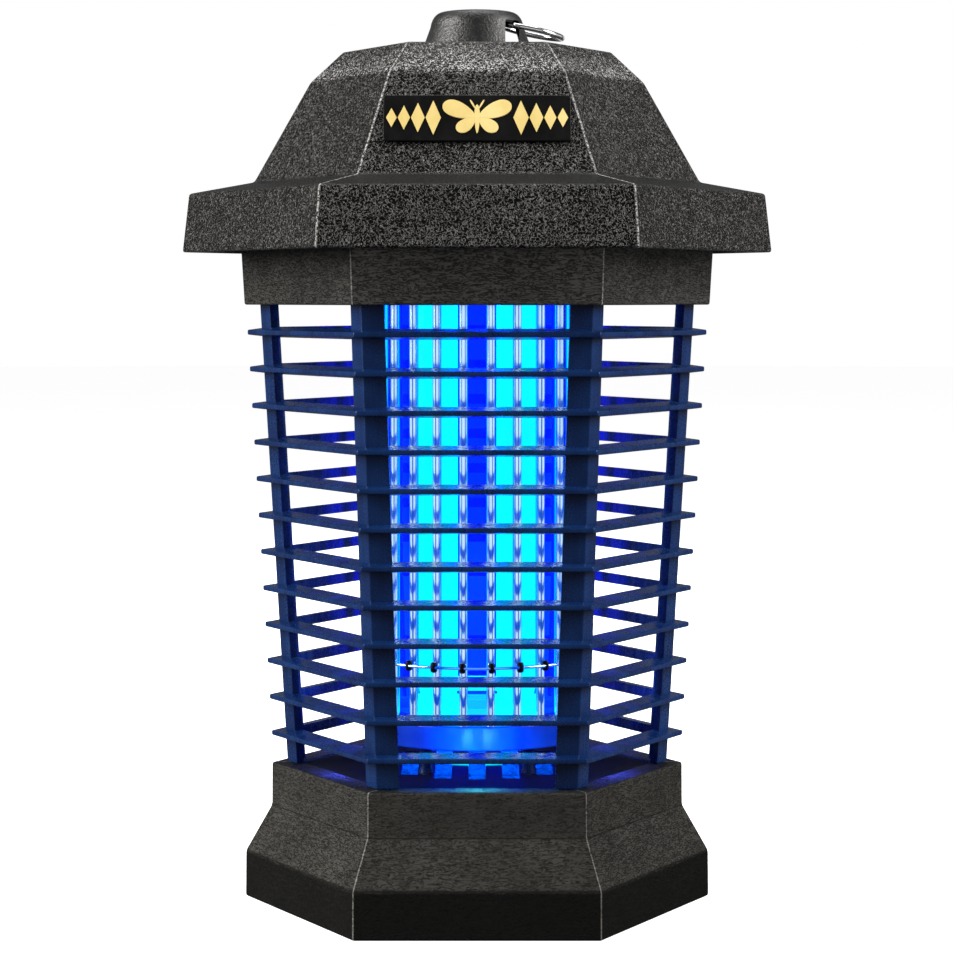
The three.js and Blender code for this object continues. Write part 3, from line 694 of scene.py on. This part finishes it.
def makeTray():
    outer = trayHigh.x
    inner = outer - tray["wall"] * hexRatio
    floorTop = trayLow.z + tray["floor"]
    moundWidth = tray["web"] + 2 * (tray["pocketWidth"] + tray["skin"])
    mound = prism("mound", roundedRectangle(
        moundWidth, tray["pocketLength"] + 2 * tray["skin"], tray["moundCorner"],
    ), floorTop - 1, trayLow.z + tray["pocketDepth"] + tray["skin"])
    pan = turn("catchTray", [
        (0, trayLow.z), (outer, trayLow.z), (outer, trayHigh.z), (inner, trayHigh.z), (inner, floorTop),
        (0, floorTop),
    ], 6)
    settle(soften(pan, tray["edge"]))
    settle(soften(mound, tray["edge"], 2, 40))
    combine(pan, [mound], "UNION")
    shift = (tray["web"] + tray["pocketWidth"]) / 2
    pockets = []
    for x in (-shift, shift):
        outline = roundedRectangle(tray["pocketWidth"], tray["pocketLength"], tray["pocketCorner"], x)
        pocket = prism("pocket", outline, trayLow.z - 6, trayLow.z + tray["pocketDepth"])
        pockets.append(settle(soften(pocket, 2, 3, 40)))
    return combine(pan, pockets)


put(shade(makeTray(), 30), paints["trayBlack"], "tray", "deck_plastic", "catch_tray")
print("base, deck and tray ready")

# Cage of posts and louvres

cage = dict(topRadius=94.2, inset=6.4, leg=8.8, thick=3.3, edge=0.45, louvres=12, width=8.2, rise=1.3,
            drop=1.1, tenon=4)
collarRadius = cage["topRadius"]
postBottom = neckRadius - cage["inset"]
postLean = (collarRadius - cage["inset"] - postBottom) / (collarBottom - rimTop)


def makePost(i):
    outer, along = Vector((1 / hexRatio, 0.5)), Vector((-0.5, 1 / hexRatio))
    leg = along * cage["leg"]
    half = [leg, leg - outer * cage["thick"]]
    section = [Vector((0, 0)), *half, Vector((-cage["thick"] * hexRatio, 0))]
    section += [Vector((p.x, -p.y)) for p in reversed(half)]
    low, high = rimTop + gap, collarBottom + cage["tenon"]
    start = postBottom + postLean * gap
    lean = postLean * (high - low)
    post = prism(f"cagePost{i + 1}", [(start + p.x, p.y) for p in section], low, high, (lean, 0))
    post.data.transform(Matrix.Rotation(math.pi / 3 * i, 4, "Z"))
    return soften(post, cage["edge"], 2, 20)


for i in range(6):
    put(shade(makePost(i)), paints["cageNavy"], "housing", "cage_plastic", f"cage_post_{i + 1}")

for i in range(cage["louvres"]):
    low, high = box(f"cage_louvre_{i + 1}")
    outer = high.x
    inner = outer - cage["width"] * hexRatio
    ring = turn(f"cageLouvre{i + 1}", [
        (inner, low.z), (outer, low.z + cage["drop"]), (outer, high.z - cage["rise"]), (inner, high.z),
    ], 6)
    soften(ring, cage["edge"], 2)
    put(shade(ring), paints["cageNavy"], "housing", "cage_plastic", f"cage_louvre_{i + 1}")
print("cage ready")

# Electric grid

grid = dict(radius=41, rods=24, rod=1.7, rodEdge=0.4, wire=1.0, sides=20, plate=4, skirt=1.6, boss=3.8,
            drumEdge=0.8, spacerWire=0.6, spacerShift=0.6, bead=1.4, beadHeight=4,
            beadShape=((0.6, 1), (0.92, 0.75), (1, 0.3)))
standoff = dict(bore=1.8, collar=1.2, slope=0.8, waist=0.5)
holder = dict(step=5, flange=3.2, edge=0.5)
drumLow, drumHigh = box("lower_grid_drum")
liveLow, liveHigh = box("live_grid")
returnLow, returnHigh = box("return_grid")
spacerLow, spacerHigh = box("grid_spacer_ring")
holderLow, holderHigh = box("upper_grid_holder")
sleeveLow, sleeveHigh = box("lamp_sleeve")
rodAngles = [(i + 0.5) * 2 * math.pi / grid["rods"] for i in range(grid["rods"])]


def makeRods(name, angles, low, high, ringZ):
    bm = bmesh.new()
    r, edge = grid["rod"], grid["rodEdge"]
    profile = [(0, low), (r - edge, low), (r, low + edge), (r, high - edge), (r - edge, high), (0, high)]
    for angle in angles:
        addTurned(bm, profile, grid["sides"], (*around(grid["radius"], angle), 0))
    addHoop(bm, grid["radius"], grid["wire"], ringZ)
    return fromBmesh(name, bm)


liveRing, returnRing = liveHigh.z - grid["wire"], returnLow.z + grid["wire"]
liveRods = makeRods("liveRods", rodAngles[0::2], liveLow.z, liveRing, liveRing)
returnRods = makeRods("returnRods", rodAngles[1::2], returnRing, returnHigh.z, returnRing)
put(shade(liveRods, 40), paints["gridSteel"], "housing", "grid_steel", "live_grid")
put(shade(returnRods, 40), paints["gridSteel"], "housing", "grid_steel", "return_grid")

spacerCircle = grid["radius"] + grid["rod"] + gap + grid["bead"]
spacerZ = (spacerLow.z + spacerHigh.z) / 2


def makeSpacerWire():
    bm = bmesh.new()
    addHoop(bm, spacerCircle + grid["spacerShift"], grid["spacerWire"], spacerZ, 120, 10)
    return fromBmesh("spacerWire", bm)


def makeBeads():
    bm = bmesh.new()
    half = [(grid["bead"] * out, grid["beadHeight"] / 2 * up) for out, up in ((0, 1), *grid["beadShape"])]
    profile = [(r, spacerZ - z) for r, z in half] + [(r, spacerZ + z) for r, z in half[::-1]]
    for angle in rodAngles:
        addTurned(bm, profile, 16, (*around(spacerCircle, angle), 0))
    return fromBmesh("spacerBeads", bm)


put(shade(makeSpacerWire(), 50), paints["gridSteel"], "housing", "grid_steel", "grid_spacer_ring")
put(shade(makeBeads(), 50), paints["plateBlack"], "housing", "knob_plastic")


def makeDrum():
    radius, skirt = drumHigh.x, drumHigh.x - grid["skirt"]
    under = drumHigh.z - grid["plate"]
    drum = turn("gridDrum", [
        (0, under), (skirt, under), (skirt, drumLow.z), (radius, drumLow.z), (radius, drumHigh.z),
        (0, drumHigh.z),
    ], 96)
    settle(soften(drum, grid["drumEdge"], 3, 40))
    boss = cylinder(grid["boss"], drumLow.z, under + 1)
    return combine(drum, [turn("boss", boss, 32, (x, y, 0)) for x, y in standoffPlaces], "UNION")


def middle(node):
    low, high = box(node)
    return (low + high) / 2


standoffPlaces = [tuple(middle(f"drum_standoff_{i + 1}"))[:2] for i in range(4)]
put(shade(makeDrum(), 40), paints["drumBlue"], "housing", "drum_plastic", "lower_grid_drum")

for i, place in enumerate(standoffPlaces):
    low, high = box(f"drum_standoff_{i + 1}")
    r = (high.x - low.x) / 2
    half = [(standoff["bore"], 0), (r, 0), (r, standoff["collar"]),
            (r - standoff["waist"], standoff["collar"] + standoff["slope"])]
    profile = [(r, low.z + z) for r, z in half] + [(r, high.z - z) for r, z in half[::-1]]
    post = turn(f"drumStandoff{i + 1}", profile, 32, (*place, 0))
    put(shade(post), paints["cageNavy"], "housing", "cage_plastic", f"drum_standoff_{i + 1}")


def makeHolder():
    inner, outer = sleeveHigh.x + gap, holderHigh.x
    body, flange = outer - holder["step"], holderHigh.z - holder["flange"]
    return soften(turn("gridHolder", [
        (inner, holderLow.z), (body, holderLow.z), (body, flange), (outer, flange), (outer, holderHigh.z),
        (inner, holderHigh.z),
    ], 96), holder["edge"], 2, 40)


put(shade(makeHolder(), 40), paints["holderWhite"], "housing", "white_plastic", "upper_grid_holder")
print("grid ready")

# Lamp, its cradle and the blue sleeve

lamp = dict(tube=8, spacing=31.6, bridge=3, bridgeRise=9, cup=1.0, cupHeight=4.4, floor=1.5, cradleEdge=0.4,
            sleeveWall=1.2)
lampLow, lampHigh = box("uv_lamp")
cradleLow, cradleHigh = box("lamp_cradle")
tubePlaces = (-lamp["spacing"] / 2, lamp["spacing"] / 2)


def makeLamp():
    r, low, high = lamp["tube"], lampLow.z, lampHigh.z
    angles = [math.pi / 2 * k / 10 for k in range(11)]
    foot = [(r * math.sin(a), low + r * (1 - math.cos(a))) for a in angles]
    legs = [turn("leg", foot + [(r, high), (0, high)], 56, (x, 0, 0)) for x in tubePlaces]
    reach = lamp["spacing"] / 2
    bridge = turn("bridge", cylinder(lamp["bridge"], -reach, reach), 40)
    bridge.data.transform(Matrix.Translation((0, 0, (low + lamp["bridgeRise"]) * metre))
                          @ Matrix.Rotation(math.pi / 2, 4, "Y"))
    lampPiece = legs[0]
    lampPiece.name = "lampTubes"
    return combine(lampPiece, [legs[1], bridge], "UNION")


put(shade(makeLamp(), 40), lampFinish(lampLook), "housing", "lamp_glass", "uv_lamp")


def makeCradle():
    low, floorTop = cradleLow.z, cradleLow.z + lamp["floor"]
    radius, cup = cradleHigh.x, lamp["tube"] + gap + lamp["cup"]
    top = floorTop + lamp["cupHeight"]
    root = floorTop - lamp["floor"] / 2
    disc = turn("lampCradle", cylinder(radius, low, floorTop), 96)
    settle(soften(disc, lamp["cradleEdge"], 2, 40))
    cups = [turn("cup", cylinder(cup, root, top), 56, (x, 0, 0)) for x in tubePlaces]
    blocks = [prism("block", rectangle(lamp["spacing"] - 2 * cup + 1, 2 * lamp["tube"]), root, top - 1)]
    lugX = (tubePlaces[1] + cup + radius) / 2
    blocks += [prism("lug", rectangle(radius - lugX, lamp["tube"], x), root, top - 1) for x in (-lugX, lugX)]
    well = cylinder(lamp["tube"] + gap, floorTop, top + 2)
    wells = [turn("well", well, 56, (x, 0, 0)) for x in tubePlaces]
    combine(disc, cups + blocks, "UNION")
    return combine(disc, wells)


put(shade(makeCradle(), 40), cradleFinish(cradleGlow), "housing", "cradle_plastic", "lamp_cradle")

sleeveInner = sleeveHigh.x - lamp["sleeveWall"]
sleevePiece = turn("lampSleeve", [
    (sleeveInner, sleeveLow.z), (sleeveHigh.x, sleeveLow.z), (sleeveHigh.x, sleeveHigh.z),
    (sleeveInner, sleeveHigh.z),
], 128)
put(shade(sleevePiece, 40), sleeveFinish(sleeve), "housing", "sleeve_plastic", "lamp_sleeve")
print("lamp ready")

# Collar and roof

collar = dict(flare=1.4, wall=3, ceiling=3, ceilingDepth=4.3, flangeRecess=3, flangeThick=2, edge=0.8)
roof = dict(draft=2.8, brim=23.4, foot=90.1, knee=67.3, slope=39.8, top=53.9, chamfer=12.3, wall=3, edge=1.0)

brimTop = brimBottom + roof["brim"]
slopeTop = plateau - roof["chamfer"]
slopeFoot = slopeTop - roof["slope"]
roofOutline = [
    (roofBox[1].x, brimBottom), (roofBox[1].x - roof["draft"], brimTop), (roof["foot"], slopeFoot),
    (roof["knee"], slopeTop), (roof["top"], plateau), (0, plateau),
]
roofPaint = leatherFinish("roofLeather", leather, (brimTop, slopeFoot), slopeTop)
# The collar's ridges are paler than the base's: painted light lifting it out of the roof's shadow
collarPaint = grainedFinish("collarGrain", dict(grained, high=(0.058, 0.056, 0.052)), (collarBottom,))
glandLow, glandHigh = box("cord_gland")
glandZ = (glandLow.z + glandHigh.z) / 2
flangeBottom = brimBottom + collar["flangeRecess"]


def makeCollar():
    wall = collar["wall"] * hexRatio
    ceilingBottom = collarBottom + collar["ceilingDepth"]
    flangeTop = flangeBottom + collar["flangeThick"]
    lean = collar["flare"] / (flangeBottom - collarBottom)
    body = turn("collarShell", [
        (0, ceilingBottom), (collarRadius - wall, ceilingBottom), (collarRadius - wall, collarBottom),
        (collarRadius, collarBottom), (collarRadius + collar["flare"], flangeBottom),
        (collarBox[1].x, flangeBottom), (collarBox[1].x, flangeTop),
        (collarRadius + lean * (flangeTop - collarBottom) - wall, flangeTop),
        (collarRadius - wall, ceilingBottom + collar["ceiling"]), (0, ceilingBottom + collar["ceiling"]),
    ], 6)
    settle(soften(body, collar["edge"]))
    throatRadius = holderHigh.x - holder["step"] + 2 * gap
    throat = cylinder(throatRadius, ceilingBottom - 3, flangeBottom - 2)
    return combine(body, [turn("throat", throat, 96)])


def makeRoof():
    skin = innerSkin(roofOutline, roof["wall"])[::-1]
    return soften(turn("roofShell", roofOutline + skin, 6), roof["edge"])


put(shade(makeCollar(), 40), collarPaint, "housing", "base_plastic", "collar")
put(shade(makeRoof()), roofPaint, "housing", "roof_plastic", "roof_shell")

# Screws under the roof and under the deck

screw = dict(shank=1.5, head=2.0, slotDepth=1.2, slotWidth=0.75, slotLength=1.1,
             dome=((0, 0), (0.55, 0.08), (0.85, 0.45), (1, 1.1)))


def makeScrew(name, low, high, radius):
    neck = low + screw["head"]
    dome = [(radius * out, low + up) for out, up in screw["dome"]]
    profile = dome + [(radius, neck), (screw["shank"], neck), (screw["shank"], high), (0, high)]
    long, wide = radius * screw["slotLength"], screw["slotWidth"]
    recess = [prism("slot", rectangle(a, b), low - 1, low + screw["slotDepth"])
              for a, b in ((long, wide), (wide, long))]
    return combine(turn(name, profile, 32), recess)


def placeScrews(prefix, name, count):
    for i in range(count):
        low, high = box(f"{prefix}_{i + 1}")
        centre = (low + high) / 2
        piece = makeScrew(f"{name}{i + 1}", low.z, high.z, (high.x - low.x) / 2)
        piece.data.transform(Matrix.Translation(Vector((centre.x, centre.y, 0)) * metre))
        put(shade(piece), paints["screwZinc"], "housing", "screw_steel", f"{prefix}_{i + 1}")


placeScrews("roof_screw", "roofScrew", 6)
placeScrews("standoff_screw", "standoffScrew", 4)
print("roof, collar and screws ready")

# Name plate: black, with a raised gold moth between lozenges

badge = dict(width=71, height=19.8, thick=1.2, corner=1.5, rise=20.8, edge=0.25, relief=0.35, reliefEdge=0.08,
             sunk=0.2)
# Each leaf: length, width, angle and the place of its root
moth = dict(foreWing=(13.2, 8.6, 25, 0.9, 0.4), hindWing=(8.6, 6.6, -40, 0.9, -0.3),
            feeler=(4.6, 0.8, 62, 0.5, 3.6), body=(12.4, 2.6, 90, 0, -6.8))
lozenge = dict(count=4, start=16.6, pitch=6.1, closer=0.045, tall=7.4, shorter=1.1, wide=2.9, narrower=0.3)
slope = math.atan2(roof["slope"], (roof["foot"] - roof["knee"]) / hexRatio)
slopeAt = badge["rise"] / roof["slope"]
badgeFace = (roof["foot"] + (roof["knee"] - roof["foot"]) * slopeAt) / hexRatio
badgePlace = (Matrix.Translation(Vector((0, -badgeFace, slopeFoot + badge["rise"])) * metre)
              @ Matrix.Rotation(slope, 4, "X"))


def leaf(length, width, angle, x, y, steps=36):
    # An outline from its root at (x, y), widest past the middle
    points = []
    for k in range(steps):
        t = k / steps * 2 * math.pi
        along = (1 - math.cos(t)) / 2
        points.append((along * length, width / 2 * math.sin(t) * (0.55 + 0.45 * along)))
    c, s = math.cos(math.radians(angle)), math.sin(math.radians(angle))
    return [(x + u * c - v * s, y + u * s + v * c) for u, v in points]


def makeBadge():
    b, d = badge, lozenge
    outline = roundedRectangle(b["width"], b["height"], b["corner"])
    plain = plate("namePlate", [outline], b["thick"], b["edge"], gap)
    half = [leaf(*moth[part]) for part in ("foreWing", "hindWing", "feeler")]
    for k in range(d["count"]):
        x = d["start"] + k * d["pitch"] * (1 - d["closer"] * k)
        tall, wide = d["tall"] - d["shorter"] * k, d["wide"] - d["narrower"] * k
        half.append([(x - wide, 0), (x, -tall), (x + wide, 0), (x, tall)])
    shapes = half + [[(-x, y) for x, y in points][::-1] for points in half] + [leaf(*moth["body"])]
    low = gap + b["thick"] - b["sunk"]
    bm = bmesh.new()
    for i, shape in enumerate(shapes):
        piece = plate(f"gold{i}", [shape], b["relief"] + b["sunk"], b["reliefEdge"], low, 1)
        bm.from_mesh(piece.data)
        bpy.data.objects.remove(piece)
    gold = fromBmesh("plateMoth", bm)
    for piece in (plain, gold):
        piece.data.transform(badgePlace)
    return plain, gold


platePiece, goldPiece = makeBadge()
put(shade(platePiece), paints["plateBlack"], "housing", "plate_black", "name_plate")
put(shade(goldPiece), paints["plateGold"], "housing", "plate_black")

# Cord gland on the rear

gland = dict(bore=3.3, shank=4.6, flange=6.2, flangeThick=2, nose=4.2, ribs=4, ribDepth=0.5, outside=11,
             sunk=0.7, edge=0.15)


def makeGland():
    # Turned along Z with its nose at the top, then laid towards +Y
    g = gland
    length = glandHigh.y - glandLow.y
    seat = length - g["outside"] + g["sunk"]
    noseLow = seat + g["flangeThick"]
    root, edge = g["shank"] + gap, g["ribDepth"] / 2
    ribs = []
    for k in range(g["ribs"]):
        a = noseLow + (length - noseLow) * (k + 0.15) / g["ribs"]
        b = noseLow + (length - noseLow) * (k + 0.62) / g["ribs"]
        wide = root + (g["nose"] - root) * (k + 0.5) / g["ribs"]
        narrow = wide - g["ribDepth"]
        ribs += [(narrow, a), (wide, a + edge), (wide, b), (narrow, b + edge)]
    profile = [(g["bore"], 0), (g["shank"], 0), (g["shank"], seat), (g["flange"], seat),
               (g["flange"], noseLow), *ribs, (g["nose"] - 0.4, length), (g["bore"], length)]
    piece = turn("cordGland", profile, 48)
    piece.data.transform(Matrix.Translation(Vector((0, glandLow.y, glandZ)) * metre)
                         @ Matrix.Rotation(-math.pi / 2, 4, "X"))
    return soften(piece, g["edge"], 2, 40)


put(shade(makeGland(), 40), paints["knobBlack"], "housing", "knob_plastic", "cord_gland")

# Knob and hanging ring

knob = dict(radius=22, shoulder=18.8, crown=13, wall=2.8, boss=4.5, foot=0.5, windowWidth=5.6, windowRise=2.2,
            windowEdge=0.8, ringInside=6.4)
hoop = dict(radius=13, wire=1.1, tilt=12)
knobLow, knobHigh = box("top_knob")
ringJoint = next(j for j in frame["joints"] if j["name"] == "ring_swing")
pivot = Vector(ringJoint["pos_m"]) / metre


def makeKnob():
    k = knob
    low, top = knobLow.z, knobHigh.z
    pivotZ = pivot.z
    ceiling = pivotZ + k["ringInside"] * math.sin(math.radians(hoop["tilt"])) + hoop["wire"] + gap
    wall, shoulder, foot = k["wall"], k["shoulder"], k["foot"]
    crown = []
    for i in range(13):
        t = i / 12
        a = Vector((shoulder, pivotZ)) * (1 - t) ** 2
        b = Vector((shoulder - 1, top)) * (2 * t * (1 - t))
        c = Vector((k["crown"], top)) * t ** 2
        crown.append(tuple(a + b + c))
    profile = [
        (0, low + gap), (k["boss"], low + gap), (k["boss"], ceiling), (shoulder - 1.4 * wall, ceiling),
        (shoulder - wall, pivotZ), (k["radius"] - wall, low), (k["radius"] - foot, low),
        (k["radius"], low + foot), *crown, (0, top),
    ]
    body = turn("topKnob", profile, 96)
    bottom = pivotZ - k["ringInside"] - hoop["wire"]
    windows = []
    for side in (-1, 1):
        x, y = pivot.x - k["windowWidth"] / 5, side * (k["boss"] + k["radius"] / 2 + gap)
        outline = rectangle(k["windowWidth"], k["radius"], x, y)
        window = prism("window", outline, bottom, pivotZ + k["windowRise"])
        windows.append(settle(soften(window, k["windowEdge"], 3, 40)))
    return combine(body, windows)


put(shade(makeKnob(), 30), paints["knobBlack"], "housing", "knob_plastic", "top_knob")


def makeHoop():
    bm = bmesh.new()
    addHoop(bm, hoop["radius"], hoop["wire"], 0, 128, 20, x=hoop["radius"] - knob["ringInside"])
    piece = fromBmesh("hangingRing", bm)
    lean = Matrix.Rotation(math.radians(hoop["tilt"]), 4, "Y")
    piece.data.transform(Matrix.Translation(pivot * metre) @ lean)
    return piece


put(shade(makeHoop(), 60), paints["ringSteel"], "ring", "ring_steel", "hanging_ring")
print("plate, gland, knob and ring ready")

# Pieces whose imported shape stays

kept = dict(
    lamp_cap="holderWhite", lamp_holder="holderWhite", circuit_board="boardGreen",
    hv_transformer="windingTape", smoothing_capacitor="canSleeve", grid_capacitor="canSleeve",
    gland_nut="knobBlack", knob_screw="screwZinc",
)
for node, paintName in kept.items():
    slots = frame["nodes"][node].data.materials
    slots.clear()
    slots.append(paints[paintName])

# Floor, world and lights

stage = dict(floor=9000, floorGlow=0.86, seen=1.0, light=0.14)


def makeFloor():
    # A disc that is clear from underneath, so that the underside can be looked at
    bm = bmesh.new()
    bm.faces.new([bm.verts.new(Vector((*around(stage["floor"], 2 * math.pi * i / 64), -0.2)) * metre)
                  for i in range(64)])
    mesh = bpy.data.meshes.new("floor")
    bm.to_mesh(mesh)
    bm.free()
    floor = keep("floor", mesh)
    paint = Paint("paleFloor")
    cloud = paint.noise(900, 2, 0.5)
    top = paint.node("BsdfPrincipled", sockets={
        "Base Color": paint.mix(cloud, (0.80, 0.80, 0.80), (0.84, 0.84, 0.84)), "Roughness": 0.9,
        "Emission Color": (1, 1, 1, 1), "Emission Strength": stage["floorGlow"], "Specular IOR Level": 0.1,
    })
    under = paint.node("BsdfTransparent")
    side = paint.node("NewGeometry", out="Backfacing")
    floor.data.materials.append(paint.show(paint.node("MixShader", sockets={0: side, 1: top, 2: under})))
    floor.visible_diffuse = False
    floor.visible_glossy = False


makeFloor()

world = bpy.data.worlds.new("studio")
scene.world = world
world.use_nodes = True
sky = world.node_tree.nodes["Background"]
path = world.node_tree.nodes.new("ShaderNodeLightPath")
level = world.node_tree.nodes.new("ShaderNodeMapRange")
level.inputs["To Min"].default_value = stage["light"]
level.inputs["To Max"].default_value = stage["seen"]
world.node_tree.links.new(path.outputs["Is Camera Ray"], level.inputs["Value"])
world.node_tree.links.new(level.outputs["Result"], sky.inputs["Strength"])
sky.inputs["Color"].default_value = (1, 1, 1, 1)


def onlyOn(*names):
    # A collection for a light that falls on these pieces alone
    group = bpy.data.collections.new(names[0] + "Only")
    for name in names:
        group.objects.link(bpy.data.objects[name])
    return group


def addLight(name, kind, at, power, colour, gloss=False, only=None):
    light = bpy.data.lights.new(name, kind)
    light.energy = power
    light.color = colour
    made = bpy.data.objects.new(name, light)
    made.location = Vector(at) * metre
    made.visible_camera = False
    made.visible_glossy = gloss
    if only:
        made.light_linking.receiver_collection = only
    scene.collection.objects.link(made)
    return made


def addSoftbox(name, to, size, at, gloss=True, **values):
    made = addLight(name + "Light", "AREA", at, gloss=gloss, **values)
    made.data.shape = "RECTANGLE"
    made.data.size, made.data.size_y = (side * metre for side in size)
    made.rotation_euler = (Vector(to) - Vector(at)).to_track_quat("-Z", "Y").to_euler()


rods = onlyOn("liveRods", "returnRods", "spacerWire", "hangingRing")
drumOnly, baseOnly, collarOnly = onlyOn("gridDrum"), onlyOn("baseShell"), onlyOn("collarShell")
white = (1, 1, 1)
softboxes = dict(
    top=dict(at=(0, 420, 1850), to=(0, 0, 250), size=(1100, 900), power=13, colour=white),
    left=dict(at=(-1500, -430, 850), to=(0, 0, 200), size=(900, 1200), power=50, colour=(1, 0.98, 0.95)),
    right=dict(at=(1500, -400, 1000), to=(0, 0, 280), size=(900, 1100), power=44, colour=(1, 0.98, 0.96)),
    rear=dict(at=(0, 1600, 700), to=(0, 0, 200), size=(1300, 900), power=14, colour=white, gloss=False),
    baseLeft=dict(at=(-1400, -600, 300), to=(0, 0, 30), size=(700, 700), power=13, colour=(1, 0.97, 0.93),
                  only=baseOnly),
    collarFront=dict(at=(500, -1300, 150), to=(0, 0, 220), size=(600, 600), power=11, colour=white,
                     only=collarOnly),
)
for i, (x, y) in enumerate(((0, -1000), (1000, 0), (0, 1000), (-1000, 0))):
    softboxes[f"rod{i + 1}"] = dict(at=(x, y, 260), to=(0, 0, 200), size=(1500, 700), power=2.5, colour=white,
                                    only=rods)
for name, values in softboxes.items():
    addSoftbox(name, **values)

# Small lights inside: along the lamp, in front under the drum, under the deck and over the rim.
# Both tubes face the front and the rear, so the rim is greener there.
blue, cyan = (0.05, 0.08, 1.0), (0.06, 0.75, 1.0)
glows = [dict(at=(0, 0, 96 + 35 * i), power=0.4, size=4, colour=(0.0, 0.06, 1.0)) for i in range(5)]
glows += [dict(at=(x, -62, 70), power=0.10, size=3, colour=(0.08, 0.6, 1.0), only=drumOnly) for x in (-7, 7)]
glows += [dict(at=(x, 34, 44), power=2.0, size=3, colour=(0.0, 0.07, 1.0)) for x in (-14, 14)]
for i in range(6):
    x, y = around(62, math.pi / 6 + math.pi / 3 * i)
    colour = cyan if abs(x) < 1 else blue
    glows.append(dict(at=(x, y, rimTop + 7), power=0.2, size=2.5, colour=colour, only=baseOnly))
for i, values in enumerate(glows):
    size = values.pop("size")
    addLight(f"glowLight{i + 1}", "POINT", **values).data.shadow_soft_size = size * metre
print("stage and lights ready")
